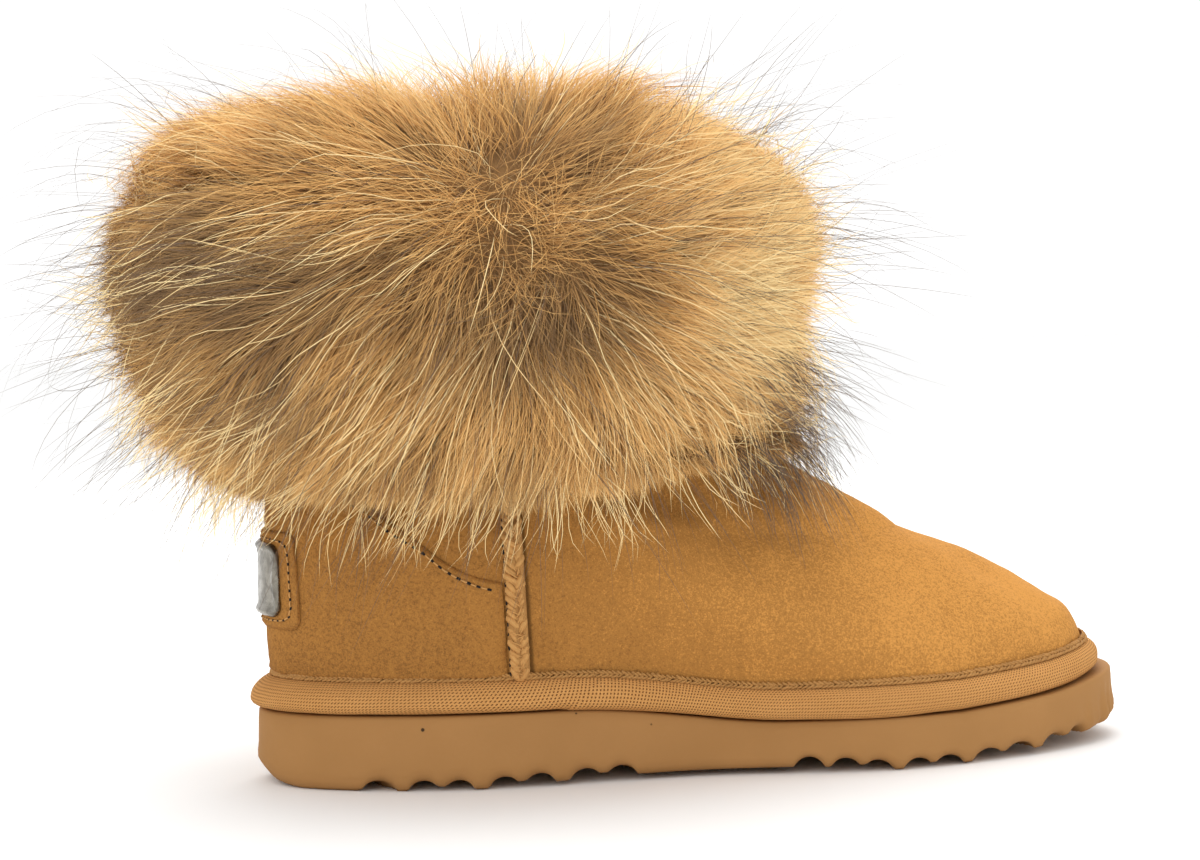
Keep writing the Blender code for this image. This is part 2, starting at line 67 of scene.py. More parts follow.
# The boot's own shape, in metres, as in the part's source. A turn of 0 is the middle of the
# heel, a turn of pi is the toe, and between them the turn passes the outer side of the foot.
SOLE_LENGTH = 0.268
SOLE_HEEL_WIDTH = 0.069
SOLE_WAIST_WIDTH = 0.073
SOLE_BALL_WIDTH = 0.096
HEEL_STACK = 0.0219
BALL_STACK = 0.0156
TOE_SPRING = 0.0065
ARCH_LIFT = 0.0018
HEEL_ROUND = 0.0045
HEEL_EDGE = -0.0195
GROOVE_RADIUS = 0.0052
GROOVE_DEPTH = 0.003
INNER_LUG_CUT = 0.0012
GROOVE_SWING = 0.0022
GROOVE_WAVE = 0.032
FIRST_PAIR = 0.74
PAIR_SPREAD = 0.44
TREAD_REGIONS = ((0.108, 0.40, 0.0241), (0.589, 0.96, 0.022))
HEEL_LEDGE = 0.0065
TOE_LEDGE = 0.0125
SIDE_LEDGE = 0.005
UPPER_WALL = 0.0024
HEEL_BULGE = 0.002
INSTEP_DEPTH = 0.060
SHAFT_HEIGHT = 0.1496
COLLAR_DEPTH = 0.120
COLLAR_WIDTH = 0.098
PIECE_GAP = 0.0003
INSOLE_THICKNESS = 0.0045
BAND_HEIGHT = 0.0093
BAND_THICKNESS = 0.0066
BAND_HEEL_SWELL = 0.3
COUNTER_THICKNESS = 0.0013
COUNTER_HEIGHT = 0.070
COUNTER_SIDE_HEIGHT = 0.038
SEAM_WIDTH = 0.006
SEAM_RAISE = 0.002
SEAM_FOOT = 0.0722
SEAM_TOP = 0.0662
SEAM_END_RISE = 7.4 / 11
PATCH_WIDTH = 0.039
PATCH_HEIGHT = 0.0285
PATCH_THICKNESS = 0.001
PATCH_LIFT = 0.0387
PLATE_WIDTH = 0.027
PLATE_HEIGHT = 0.0215
PLATE_THICKNESS = 0.001
CORNER_RADIUS = 0.0035
FUR_REACH = 0.048
FUR_DROP = 0.088
FUR_CREST = 0.031
FUR_CLEARANCE = 0.0055
FUR_FRONT_LIFT = 0.14
FUR_BACK_LIFT = 0.05
FUR_CREST_DIP = 0.24
SOLE_EXPONENTS = (2.2, 2.4)
SHAFT_EXPONENT = 2.05
WIDTH_STATIONS = (0.15, 0.45, 0.72)
CENTRE_LINE = ((0, 0.0), (0.45, -0.031), (0.72, 0.005), (1, 0.073))
COUNTER_EDGE = ((0, 1), (0.45, 0.92), (0.75, 0.44), (0.84, 0.22), (0.92, 0.08), (1, 0))

# Rows of the upper from its lower edge to the collar, with the columns of the part's source
UPPER_ROWS = {
    "back": (0, 0.06, 0.134, 0.214, 0.294, 0.374, 0.455, 0.548, 0.655, 0.769, 0.889, 1),
    "front": (0, 0.15, 0.3, 0.433, 0.617, 0.783, 0.715, 0.676, 0.652, 0.713, 0.867, 1),
    "reach": (1, 1.018, 1.006, 0.966, 0.884, 0.782, 0.795, 0.83, 0.952, 1.075, 1.025, 1),
    "bulge": (0, 0.62, 1, 1, 0.88, 0.75, 0.62, 0.5, 0.38, 0.38, 0.38, 0.38),
    "heel": (1, 1.068, 1.1, 1.12, 1.12, 1.12, 0.96, 0.892, 0.82, 0.786, 0.806, 0.816),
    "waist": (1, 1.08, 1.143, 1.16, 1.175, 1.19, 1.06, 0.994, 0.945, 0.94, 0.98, 1),
    "ball": (1, 1.058, 1.047, 0.942, 0.767, 0.628, 0.607, 0.652, 0.732, 0.816, 0.878, 0.918),
    "shaft": (0, 0, 0, 0, 0, 0, 0.25, 0.5, 0.8, 1, 1, 1),
    "follow": (1, 1, 0.8, 0.6, 0.4, 0.2, 0, 0, 0, 0, 0, 0),
}

# Rows round the fur: out as a share of its reach, height as a share of its drop or crest,
# clearances kept from the upper, and how deep the skin lies under the fur's outline
FUR_ROWS = (
    ("skirt_inside", 0.0, -0.72, 1.0, 0.0),
    ("skirt_hem_inside", 0.05, -0.93, 1.2, 0.001),
    ("hem", 0.22, -1.0, 1.8, 0.004),
    ("under", 0.42, -0.91, 2.8, 0.007),
    ("low_belly_inside", 0.69, -0.76, 4.0, 0.010),
    ("low_belly", 0.9, -0.53, 5.0, 0.012),
    ("belly", 1.0, -0.24, 5.0, 0.013),
    ("shoulder_low", 0.99, 0.05, 5.0, 0.013),
    ("shoulder", 0.89, 0.4, 5.0, 0.013),
    ("crown_outside", 0.7, 0.73, 4.0, 0.012),
    ("crown", 0.47, 0.94, 3.0, 0.010),
    ("crest", 0.25, 1.0, 1.0, 0.008),
    ("crest_inside", 0.08, 0.85, 0.0, 0.004),
    ("lip", -0.02, 0.45, 0.0, 0.0),
)
FUR_SEAT_RISES = (1.0, 10 / 11, 9 / 11, 8.2 / 11)

# How finely the pieces are made, and how near points of one shell are welded
SOLE_COLUMNS = 720
HIDE_COLUMNS = 260
LINING_COLUMNS = 170
INSOLE_COLUMNS = 200
TAPE_COLUMNS = 560
COUNTER_COLUMNS = 130
COUNTER_ROWS = 36
SEAM_COLUMNS = 25
SEAM_ROWS = 150
COAT_COLUMNS = 160
WELD = 0.00002

# Forms that are too fine for the solids
PILE_HEIGHT = 0.0021
PILE_LUMPS = 0.0009
TOE_RAG = 0.0013
TOE_RADIUS = 0.067
TAPE_JOIN_PLACE = 0.118
TAPE_JOIN_SPREAD = 0.03
TAPE_LAP = 0.00055
STITCH_INSET = 0.0033
PATCH_STITCH_INSET = 0.0024
PATCH_STITCH_SPACING = 0.0026
GUARD_LENGTH = 0.054
GUARD_WIDTH = 0.00021
STRAND_ROLL = 0.4
BOX_SHARE = 0.03
BOX_SLACK = 0.009

# Rows of the overlocked edge: height over the sole, how far out, slant, and seed
OVERLOCK_ROWS = ((0.0099, 0.0010, 0.0004, 1), (0.0107, 0.0006, -0.0004, 2))

# Rows down the sole's wall: height as a share of the wall's, and how far out
SOLE_WALL = (
    (1.0, -0.0012), (0.985, -0.0004), (0.95, 0.0), (0.8, 0.0002), (0.6, 0.0003),
    (0.4, 0.0004), (0.25, 0.0007), (0.14, 0.0007), (0.07, 0.0001), (0.03, -0.0008),
    (0.0, -0.0022),
)

# Rows round the tape: height as a share of the band's, and out as a share of its thickness
TAPE_PROFILE = (
    (0.99, 0.05), (1.0, 0.13), (0.975, 0.24), (0.92, 0.36), (0.84, 0.51), (0.74, 0.66),
    (0.63, 0.79), (0.52, 0.885), (0.41, 0.945), (0.31, 0.985), (0.22, 0.995), (0.14, 0.955),
    (0.075, 0.86), (0.04, 0.7), (0.03, 0.5), (0.03, 0.25), (0.04, 0.05), (0.3, 0.05),
    (0.65, 0.05),
)

# Threads, and the dark marks of painted shade that stand for needle holes: length, bow and radius
OVERLOCK_THREAD = (0.0018, 0.0006, 0.00040)
COUNTER_HOLE_SHADE = (0.00075, 0.00006, 0.00042)
PATCH_THREAD = (0.0016, 0.0005, 0.00022)
PATCH_HOLE_SHADE = (0.0006, 0.00006, 0.00032)

# Width along a hair, from its root to its tip
GUARD_TAPER = (0.7, 1, 1, 1, 0.9, 0.8, 0.6, 0)
WISP_TAPER = (1, 1, 1, 0.9, 0.8, 0.7, 0.5, 0)

# Dark wisps all over the coat, and in the bunch at the front: length, stand, weight and width
WISP_FORMS = ((0.055, 1.3, 0.4, 0.00013), (0.040, 1.1, 0.9, 0.00020))

# Half the distance between the two partings of the coat
PARTING_SIDE = 0.097

# Where the coat parts on each side: x and z along the parting, from its top to its foot
PARTING = ((0.0393, 0.194), (0.042, 0.157), (0.063, 0.134), (0.076, 0.115))
WHORL = (0.040, 0.156)


def through(points, at):
    """A cubic curve through (place, value) points that never overshoots them, read at `at`."""
    places, values = np.array(points, float).T
    steps = np.diff(places)
    rises = np.diff(values) / steps
    slopes = np.concatenate(([rises[0]], np.zeros(len(rises) - 1), [rises[-1]]))
    for i in range(1, len(rises)):
        before, after = rises[i - 1], rises[i]
        if before * after > 0:
            first = 2 * steps[i] + steps[i - 1]
            second = steps[i] + 2 * steps[i - 1]
            slopes[i] = (first + second) / (first / before + second / after)
    at = np.clip(at, places[0], places[-1])
    i = np.clip(np.searchsorted(places, at, side="right") - 1, 0, len(steps) - 1)
    t = (at - places[i]) / steps[i]
    return (
        values[i] * (1 + 2 * t) * (1 - t) ** 2
        + values[i + 1] * t**2 * (3 - 2 * t)
        + steps[i] * t * (1 - t) * (slopes[i] * (1 - t) - slopes[i + 1] * t)
    )


def mix(first, second, share):
    return first + (second - first) * share


def ease(value, low, high):
    """0 below low, 1 above high, and a soft step between them."""
    share = np.clip((value - low) / (high - low), 0, 1)
    return share**2 * (3 - 2 * share)


def unit(vectors):
    return vectors / np.maximum(np.linalg.norm(vectors, axis=-1, keepdims=True), 1e-12)


def end_round(share, back, front):
    power = np.where(share < 0.5, back, front)
    return (1 - np.abs(2 * share - 1) ** power) ** (1 / power)


def half_width(share, widths, back, front):
    """Half width at a share of the length, from the true half widths at the three stations."""
    full = [w / end_round(s, back, front) for s, w in zip(WIDTH_STATIONS, widths)]
    first = ease(share, WIDTH_STATIONS[0], WIDTH_STATIONS[1])
    second = ease(share, WIDTH_STATIONS[1], WIDTH_STATIONS[2])
    body = full[0] + (full[1] - full[0]) * first + (full[2] - full[1]) * second
    return body * end_round(share, back, front)


def centre(share):
    return SOLE_BALL_WIDTH * through(CENTRE_LINE, share)


def toe_lift(share):
    return TOE_SPRING * through(((0.76, 0), (0.88, 0.32), (1, 1)), share)


def seat(x):
    """Height of the sole's top at x."""
    share = (np.asarray(x) - HEEL_EDGE) / SOLE_LENGTH
    stack = ((0, HEEL_STACK), (0.317, HEEL_STACK), (0.56, BALL_STACK), (1, BALL_STACK))
    return through(stack, share) + toe_lift(share)


def sole_bottom(x):
    """Height of the sole's underside at x, before its tread is cut."""
    share = (np.asarray(x) - HEEL_EDGE) / SOLE_LENGTH
    heel = HEEL_ROUND * through(((0, 1), (0.015, 0.3), (0.035, 0)), share)
    arch = ARCH_LIFT * through(((0.2, 0), (0.4, 1), (0.58, 1), (0.67, 0)), share)
    return heel + arch + toe_lift(share)


def sole_outline(turn, out=0.0):
    """x and y of the sole's edge, moved out square to it."""

    def edge(turn):
        share = 0.5 - 0.5 * np.cos(turn)
        widths = (SOLE_HEEL_WIDTH / 2, SOLE_WAIST_WIDTH / 2, SOLE_BALL_WIDTH / 2)
        half = half_width(share, widths, *SOLE_EXPONENTS)
        side = -np.sign(np.sin(turn)) * half
        return np.stack((HEEL_EDGE + SOLE_LENGTH * share, centre(share) + side), -1)

    along = unit(edge(turn + 0.001) - edge(turn - 0.001))
    square = np.stack((along[..., 1], -along[..., 0]), -1)
    return edge(turn) + np.asarray(out)[..., None] * square


def upper_at(turn, rise):
    """A point of the upper's outer face. rise runs from 0 at its lower edge to 1 at the collar."""
    turn, rise = np.broadcast_arrays(np.asarray(turn, float), np.asarray(rise, float))
    levels = np.linspace(0, 1, len(UPPER_ROWS["back"]))
    row = {name: through(list(zip(levels, v)), rise) for name, v in UPPER_ROWS.items()}
    shaft = row["shaft"]
    share = 0.5 - 0.5 * np.cos(turn)
    foot_length = SOLE_LENGTH - HEEL_LEDGE - TOE_LEDGE
    length = row["reach"] * mix(foot_length, COLLAR_DEPTH, shaft)
    x = HEEL_EDGE + HEEL_LEDGE - HEEL_BULGE * row["bulge"] + length * share
    feather = [w / 2 - SIDE_LEDGE for w in (SOLE_HEEL_WIDTH, SOLE_WAIST_WIDTH, SOLE_BALL_WIDTH)]
    widths = [
        row[name] * mix(foot, COLLAR_WIDTH / 2, shaft)
        for name, foot in zip(("heel", "waist", "ball"), feather)
    ]
    exponents = [mix(e, SHAFT_EXPONENT, shaft) for e in SOLE_EXPONENTS]
    half = half_width(share, widths, *exponents)
    y = centre(share) * (1 - shaft) - np.sign(np.sin(turn)) * half
    back_height = row["back"] * SHAFT_HEIGHT
    front_height = row["front"] * mix(INSTEP_DEPTH, SHAFT_HEIGHT, shaft)
    base = mix(HEEL_STACK, seat(x), row["follow"])
    lean = share**2 * (3 - 2 * share)
    z = base + PIECE_GAP + mix(back_height, front_height, lean)
    return np.stack((x, y, z), -1)


def upper_normal(turn, rise, level=False):
    step = 0.002
    along = upper_at(turn + step, rise) - upper_at(turn - step, rise)
    up = upper_at(turn, rise + step) - upper_at(turn, rise - step)
    normal = np.cross(along, up)
    if level:
        normal[..., 2] = 0
    return unit(normal)


def upper_out(turn, rise, out, level=False):
    """A point off the upper's outer face by `out`, square to it, or level and outward."""
    turn, rise = np.broadcast_arrays(np.asarray(turn, float), np.asarray(rise, float))
    out = np.broadcast_to(np.asarray(out, float), turn.shape)
    return upper_at(turn, rise) + out[..., None] * upper_normal(turn, rise, level)


def rise_at(turn, height, above_seat=False):
    """The rise at which the upper reaches a height over the floor, or over the sole's top."""
    turn, height = np.broadcast_arrays(np.asarray(turn, float), np.asarray(height, float))
    steps = np.linspace(0, 1, 221)
    lines = upper_at(turn[..., None], steps)
    heights = lines[..., 2] - (seat(lines[..., 0]) if above_seat else 0)
    found = np.empty(turn.shape)
    for i in np.ndindex(turn.shape):
        found[i] = np.interp(height[i], heights[i], steps)
    return found


def turn_at_x(x, rise, side=1):
    """The turn at which the upper reaches x, on the outer side (1) or the inner side (-1)."""
    back = upper_at(0.0, rise)[..., 0]
    front = upper_at(math.pi, rise)[..., 0]
    return side * np.arccos(1 - 2 * np.clip((x - back) / (front - back), 0, 1))


def turn_at_arc(distance, height):
    """The turn at a distance round the heel from its middle, at a height over the floor."""
    turns = np.linspace(0, 1.2, 81)
    line = upper_at(turns, rise_at(turns, height))
    arc = np.concatenate(([0], np.cumsum(np.linalg.norm(np.diff(line, axis=0), axis=1))))
    return np.sign(distance) * np.interp(np.abs(distance), arc, turns)


def seam_x(rise):
    return HEEL_EDGE + mix(SEAM_FOOT, SEAM_TOP, rise)


def ring_turns(count):
    return np.arange(count) * 2 * math.pi / count


def lumps(points, size, seed, waves=9):
    """Soft lumps of about `size`, from -1 to 1, at points in space."""
    dice = np.random.default_rng(seed)
    total = np.zeros(points.shape[:-1])
    for _ in range(waves):
        way = unit(dice.normal(size=3)) * dice.uniform(0.7, 1.5) * math.pi / size
        total += np.sin(points @ way + dice.uniform(0, 2 * math.pi))
    return total / math.sqrt(waves)


# Meshes


def raw_mesh(name, points, faces, uv=None):
    """A mesh of faces with one number of corners. uv has two numbers for each corner."""
    corners = faces.shape[1]
    mesh = bpy.data.meshes.new(name)
    mesh.vertices.add(len(points))
    mesh.vertices.foreach_set("co", np.ascontiguousarray(points, np.float32).ravel())
    mesh.loops.add(faces.size)
    mesh.loops.foreach_set("vertex_index", np.ascontiguousarray(faces, np.int32).ravel())
    mesh.polygons.add(len(faces))
    starts = np.arange(0, faces.size, corners, dtype=np.int32)
    mesh.polygons.foreach_set("loop_start", starts)
    mesh.update(calc_edges=True)
    if uv is not None:
        layer = mesh.uv_layers.new(name="way")
        layer.uv.foreach_set("vector", np.ascontiguousarray(uv, np.float32).ravel())
    mesh.shade_smooth()
    return mesh


def grid_faces(rows, columns, rows_close=False):
    """Rows and columns of the four corners of each face, over rows that are closed rings."""
    r = np.arange(rows if rows_close else rows - 1)
    r, c = (a.ravel() for a in np.meshgrid(r, np.arange(columns), indexing="ij"))
    corners = ((r, c), (r, c + 1), (r + 1, c + 1), (r + 1, c))
    return corners, np.stack([(i % rows) * columns + j % columns for i, j in corners], -1)


def grid_mesh(name, grid, uv=None, rows_close=False):
    """A mesh over rows of points, each a closed ring. uv has one more row and column."""
    corners, faces = grid_faces(*grid.shape[:2], rows_close)
    if uv is not None:
        uv = np.stack([uv[i, j] for i, j in corners], 1)
    return raw_mesh(name, grid.reshape(-1, 3), faces, uv)


def tidy_shell(mesh, weld=0.0, sharp=None):
    """Welds the places where rows meet, and turns the faces of a closed shell outward."""
    body = bmesh.new()
    body.from_mesh(mesh)
    if weld:
        bmesh.ops.remove_doubles(body, verts=body.verts[:], dist=weld)
        bmesh.ops.dissolve_degenerate(body, edges=body.edges[:], dist=weld)
    bmesh.ops.recalc_face_normals(body, faces=body.faces[:])
    body.to_mesh(mesh)
    body.free()
    mesh.shade_smooth()
    if sharp:
        mesh.set_sharp_from_angle(angle=math.radians(sharp))
    return mesh


def arc_uv(grid):
    """u and v in metres along the columns and the rows of a grid that closes both ways."""
    full = np.concatenate((grid, grid[:, :1]), axis=1)
    full = np.concatenate((full, full[:1]), axis=0)
    along = np.linalg.norm(np.diff(full, axis=1), axis=-1).max(axis=0)
    up = np.linalg.norm(np.diff(full, axis=0), axis=-1).mean(axis=1)
    u = np.concatenate(([0], np.cumsum(along)))
    v = np.concatenate(([0], np.cumsum(up)))
    return np.stack(np.broadcast_arrays(u[None, :], v[:, None]), -1)


def piece(name, mesh, slot, *nodes, dress=None):
    """A finished piece of the boot, in a finish unless its mesh has one, for the nodes named."""
    item = bpy.data.objects.new(name, mesh)
    bpy.context.scene.collection.objects.link(item)
    if dress:
        mesh.materials.append(finish(dress))
    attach(item, "root")
    if nodes:
        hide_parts(*nodes)
    return item


# Finishes


class Socket:
    """A number or colour that leaves a shader node. Sums on it add Math nodes."""

    def __init__(self, finish, out):
        self.finish = finish
        self.out = out

    def sum(self, operation, *others, clamp=False):
        values = dict(enumerate(others))
        settings = {"operation": operation, "use_clamp": clamp}
        return self.finish.node("ShaderNodeMath", settings, values)

    def __add__(self, other):
        return self.sum("ADD", self, other)

    __radd__ = __add__

    def __sub__(self, other):
        return self.sum("SUBTRACT", self, other)

    def __rsub__(self, other):
        return self.sum("SUBTRACT", other, self)

    def __mul__(self, other):
        return self.sum("MULTIPLY", self, other)

    __rmul__ = __mul__

    def sine(self):
        return self.sum("SINE", self)

    def size(self):
        return self.sum("ABSOLUTE", self)

    def clamped(self):
        return self.sum("ADD", self, 0.0, clamp=True)

    def ease(self, low, high):
        """0 below low, 1 above high, and a soft step between them."""
        settings = {"interpolation_type": "SMOOTHSTEP"}
        return self.finish.node("ShaderNodeMapRange", settings, {0: self, 1: low, 2: high})


class Finish:
    """A material with one principled surface, and short ways to add nodes to it."""

    def __init__(self, name, roughness, **surface):
        self.material = bpy.data.materials.new(name)
        self.material.use_nodes = True
        self.tree = self.material.node_tree
        self.surface = self.tree.nodes["Principled BSDF"]
        self.surface.inputs["Roughness"].default_value = roughness
        for socket, value in surface.items():
            self.surface.inputs[socket.replace("_", " ")].default_value = value

    def node(self, kind, settings=(), values=(), out=0):
        """A new node: its own settings first, then the values or links of its sockets."""
        node = self.tree.nodes.new(kind)
        for name, value in dict(settings).items():
            setattr(node, name, value)
        for key, value in dict(values).items():
            self.set(node.inputs[key], value)
        return Socket(self, node.outputs[out])

    def set(self, socket, value):
        if isinstance(value, Socket):
            self.tree.links.new(value.out, socket)
        elif socket.type == "RGBA":
            socket.default_value = (*value[:3], 1)
        else:
            socket.default_value = value

    def place(self):
        return self.node("ShaderNodeTexCoord", out="Object")

    def axis(self, place, name):
        return self.node("ShaderNodeSeparateXYZ", values={0: place}, out=name)

    def noise(self, place, size, detail=2.0, rough=0.5, stretch=None):
        """Noise with features of about `size` metres, from 0 to 1."""
        if stretch:
            place = self.node("ShaderNodeMapping", values={"Vector": place, "Scale": stretch})
        values = {"Vector": place, "Scale": 1 / size, "Detail": detail, "Roughness": rough}
        return self.node("ShaderNodeTexNoise", values=values)

    def blend(self, share, first, second):
        """Colours mixed by a share."""
        settings = {"data_type": "RGBA"}
        return self.node("ShaderNodeMix", settings, {0: share, 6: first, 7: second}, out=2)

    def bump(self, height, distance, strength, under=None):
        values = {"Height": height, "Distance": distance, "Strength": strength}
        if under:
            values["Normal"] = under
        return self.node("ShaderNodeBump", values=values)

    def show(self, **sockets):
        """Links the surface's own sockets, and hands back the material."""
        for name, value in sockets.items():
            self.set(self.surface.inputs[name.replace("_", " ")], value)
        return self.material


def suede_finish(name, deep, base, pale):
    """Napped hide: clouds, rubbed specks and fine pores, with painted shade that darkens it
    towards the heel and low down near the tape, and a painted shadow beside the side seam.
    """
    skin = Finish(name, 0.95, Specular_IOR_Level=0.06)
    place = skin.place()
    cloud = skin.noise(place, 0.026, 3.0, 0.5)
    brush = skin.noise(place, 0.0035, 3.0, 0.6, stretch=(1, 1, 0.5))
    speck = skin.noise(place, 0.0009, 2.0, 0.6)
    grain = skin.noise(place, 0.0004, 1.0)
    x, z = skin.axis(place, "X"), skin.axis(place, "Z")
    # Painted shade: the hide is darkened from the toe towards the heel, where less light falls
    # than on the upturned toe, and low down near the tape.
    along = x.ease(-0.01, 0.22) * 0.8 + z.ease(0.022, 0.05) * 0.2
    nap = (brush - 0.5) * 0.35 + (speck - 0.5) * 1.4 + (grain - 0.5) * 1.3
    tone = (cloud - 0.5) * 0.5 + nap + along - 0.03
    dark = skin.blend(tone.ease(-0.4, 0.5), deep, base)
    colour = skin.blend(tone.ease(0.45, 1.15), dark, pale)
    # Painted shadow: a dark line in the hide just in front of the side seam, where its groove lies
    # in shade.
    beside_seam = (x + z * 0.0535 - 0.0573).size()
    painted_seam_shadow = 1 - beside_seam.ease(0.0003, 0.0014)
    colour = skin.blend(painted_seam_shadow * 0.75, colour, tuple(0.35 * c for c in deep))
    fluff = skin.bump(speck * 0.6 + grain * 0.6, 0.00035, 0.7)
    normal = skin.bump(brush, 0.0009, 0.35, fluff)
    rough = 0.88 + cloud * 0.1
    return skin.show(Base_Color=colour, Roughness=rough, Normal=normal)


def foam_finish(name, base, deep, pale):
    """Moulded foam: matte, with faint clouds, pinholes sunk by a bump and darkened with painted
    shade, and rubbed streaks near the ground.
    """
    foam = Finish(name, 0.78, Specular_IOR_Level=0.15)
    place = foam.place()
    cloud = foam.noise(place, 0.03, 3.0)
    mist = foam.noise(place, 0.0012, 2.0)
    pits = foam.node("ShaderNodeTexVoronoi", values={"Vector": place, "Scale": 75})
    pinhole_sink_and_shade = 1 - pits.ease(0.03, 0.05)
    low = 1 - foam.axis(place, "Z").ease(0.002, 0.009)
    streak = foam.noise(place, 0.004, 3.0, 0.6, stretch=(0.25, 0.25, 1.6))
    scuff = (low * streak.ease(0.5, 0.75)).clamped()
    body = foam.blend((cloud - 0.5) * 1.4 + 0.5, deep, pale)
    body = foam.blend(mist * 0.35 + 0.2, body, base)
    body = foam.blend(scuff * 0.3, body, deep)
    # Painted shade: the pinholes are coloured near black.
    colour = foam.blend(pinhole_sink_and_shade * 0.9, body, (0.02, 0.012, 0.008))
    normal = foam.bump(mist * 0.25 - pinhole_sink_and_shade, 0.0003, 0.6)
    rough = 0.7 + mist * 0.16
    return foam.show(Base_Color=colour, Roughness=rough, Normal=normal)


def twill_finish(name, base, deep, pale):
    """Woven tape on its own map in metres: yarns on a slant that turns at the heel."""
    cloth = Finish(name, 0.9, Specular_IOR_Level=0.08)
    way = cloth.node("ShaderNodeUVMap", {"uv_map": "way"})
    along = cloth.axis(way, "X")
    across = cloth.axis(way, "Y")
    swing = (along * (2 * math.pi / 0.17)).sine() * 0.55
    turn = 2 * math.pi
    slip = cloth.noise(way, 0.01, 2.0) * 3.0
    slant = (along * (turn / 0.00105) + across * (turn / 0.0011) * (swing + 0.75) + slip).sine()
    rows = (across * (turn / 0.0009) + slip).sine()
    gap = ((slant * 0.5 + 0.5) * (rows * 0.32 + 0.68)).ease(0.4, 0.95)
    yarn = cloth.noise(way, 0.0008, 2.0)
    wear = cloth.noise(way, 0.014, 3.0)
    body = cloth.blend(yarn * 0.7 + wear * 0.5 - 0.1, base, pale)
    colour = cloth.blend(gap * 0.95, body, deep)
    # Painted shadow: a dark line along the tape's top edge, where it meets the upper.
    seam = 1 - across.ease(0.0003, 0.0012)
    colour = cloth.blend(seam * 0.8, colour, tuple(0.5 * c for c in deep))
    normal = cloth.bump(yarn * 0.3 - gap + slant * 0.15, 0.0004, 0.9)
    return cloth.show(Base_Color=colour, Normal=normal)


def thread_finish(name, base, deep):
    """Spun thread, with fibres and darker patches."""
    thread = Finish(name, 0.7, Specular_IOR_Level=0.2)
    place = thread.place()
    fibre = thread.noise(place, 0.0004, 2.0)
    patch = thread.noise(place, 0.004, 2.0)
    colour = thread.blend(fibre * 0.7 + patch * 0.4 - 0.1, deep, base)
    return thread.show(Base_Color=colour, Normal=thread.bump(fibre, 0.0002, 0.6))


def fleece_finish(name, base, deep):
    """Short curled pile."""
    pile = Finish(name, 0.95, Specular_IOR_Level=0.05)
    place = pile.place()
    curl = pile.node("ShaderNodeTexVoronoi", values={"Vector": place, "Scale": 420})
    fine = pile.noise(place, 0.0012, 3.0)
    tone = (1 - curl) * 0.6 + fine * 0.6 - 0.1
    colour = pile.blend(tone, deep, base)
    return pile.show(Base_Color=colour, Normal=pile.bump(tone, 0.0012, 0.9))


def metal_finish(name, base, deep):
    """Aged silver-coloured metal with patches of dark tarnish."""
    plate = Finish(name, 0.35, Metallic=1.0)
    place = plate.place()
    haze = plate.noise(place, 0.004, 4.0, 0.6)
    fine = plate.noise(place, 0.0006, 2.0)
    tarnish = (haze * 1.2 + fine * 0.2 - 0.3).ease(0.2, 0.7)
    colour = plate.blend(tarnish * 0.6, base, deep)
    rough = 0.22 + tarnish * 0.2
    return plate.show(Base_Color=colour, Roughness=rough, Normal=plate.bump(fine, 0.00005, 0.3))


def coat_finish(name, root, body, tip, deep, pale):
    """Hair on its own map: u runs from root to tip, and v from the darkest to the palest hair."""
    hair = Finish(name, 0.7, Specular_IOR_Level=0.12)
    way = hair.node("ShaderNodeUVMap", {"uv_map": "way"})
    along = hair.axis(way, "X")
    shade = hair.axis(way, "Y")
    low = hair.blend(along.ease(0.0, 0.55), root, body)
    # The paler tips are partly the hair's own pale ends and partly painted glow, standing in for
    # light through the backlit tips at the fur's rim.
    colour = hair.blend(along.ease(0.5, 1.0), low, tip)
    colour = hair.blend((0.5 - shade) * 1.9, colour, deep)
    colour = hair.blend((shade - 0.5) * 1.8, colour, pale)
    return hair.show(Base_Color=colour)


def plain_finish(name, colour, roughness, **surface):
    """A finish for what is too small or too dark to show a pattern, with a little mottle."""
    made = Finish(name, roughness, **surface)
    mottle = made.noise(made.place(), 0.0009, 2.0)
    darker = tuple(0.6 * c for c in colour)
    return made.show(Base_Color=made.blend(mottle, darker, colour))


FINISHES = {}


def finish(name):
    """A finish of the boot by name, made from the colours in the panel when first asked for."""
    if name not in FINISHES:
        c = bpy.context.scene.boot_colours
        dark = (0.012, 0.008, 0.006)
        makers = {
            "hide": lambda: suede_finish("napped_hide", c.hide_deep, c.hide, c.hide_pale),
            "foam": lambda: foam_finish("sole_foam", c.foam, c.foam_deep, c.foam_pale),
            "twill": lambda: twill_finish("woven_tape", c.tape, c.tape_deep, c.tape_pale),
            "braid": lambda: thread_finish("braid_thread", c.braid, c.hide_deep),
            "thread": lambda: thread_finish("pale_thread", c.thread, c.tape),
            # Painted shade: a near-black finish for the marks that stand for needle holes.
            "hole_shade": lambda: plain_finish("needle_hole_shade", dark, 0.95),
            "fleece": lambda: fleece_finish("fleece_pile", c.fleece, c.coat_root),
            "metal": lambda: metal_finish("aged_metal", c.metal, c.metal_deep),
            "coat": lambda: coat_finish(
                "fur_coat", c.coat_root, c.coat, c.coat_tip_and_glow, c.coat_deep, c.coat_pale
            ),
            "wisp": lambda: plain_finish("dark_hair", c.coat_deep, 0.5),
            "skin": lambda: plain_finish("fur_skin", c.coat_root, 1.0, Specular_IOR_Level=0.05),
        }
        FINISHES[name] = makers[name]()
    return FINISHES[name]


# Stitches and other small forms set along a line by Geometry Nodes


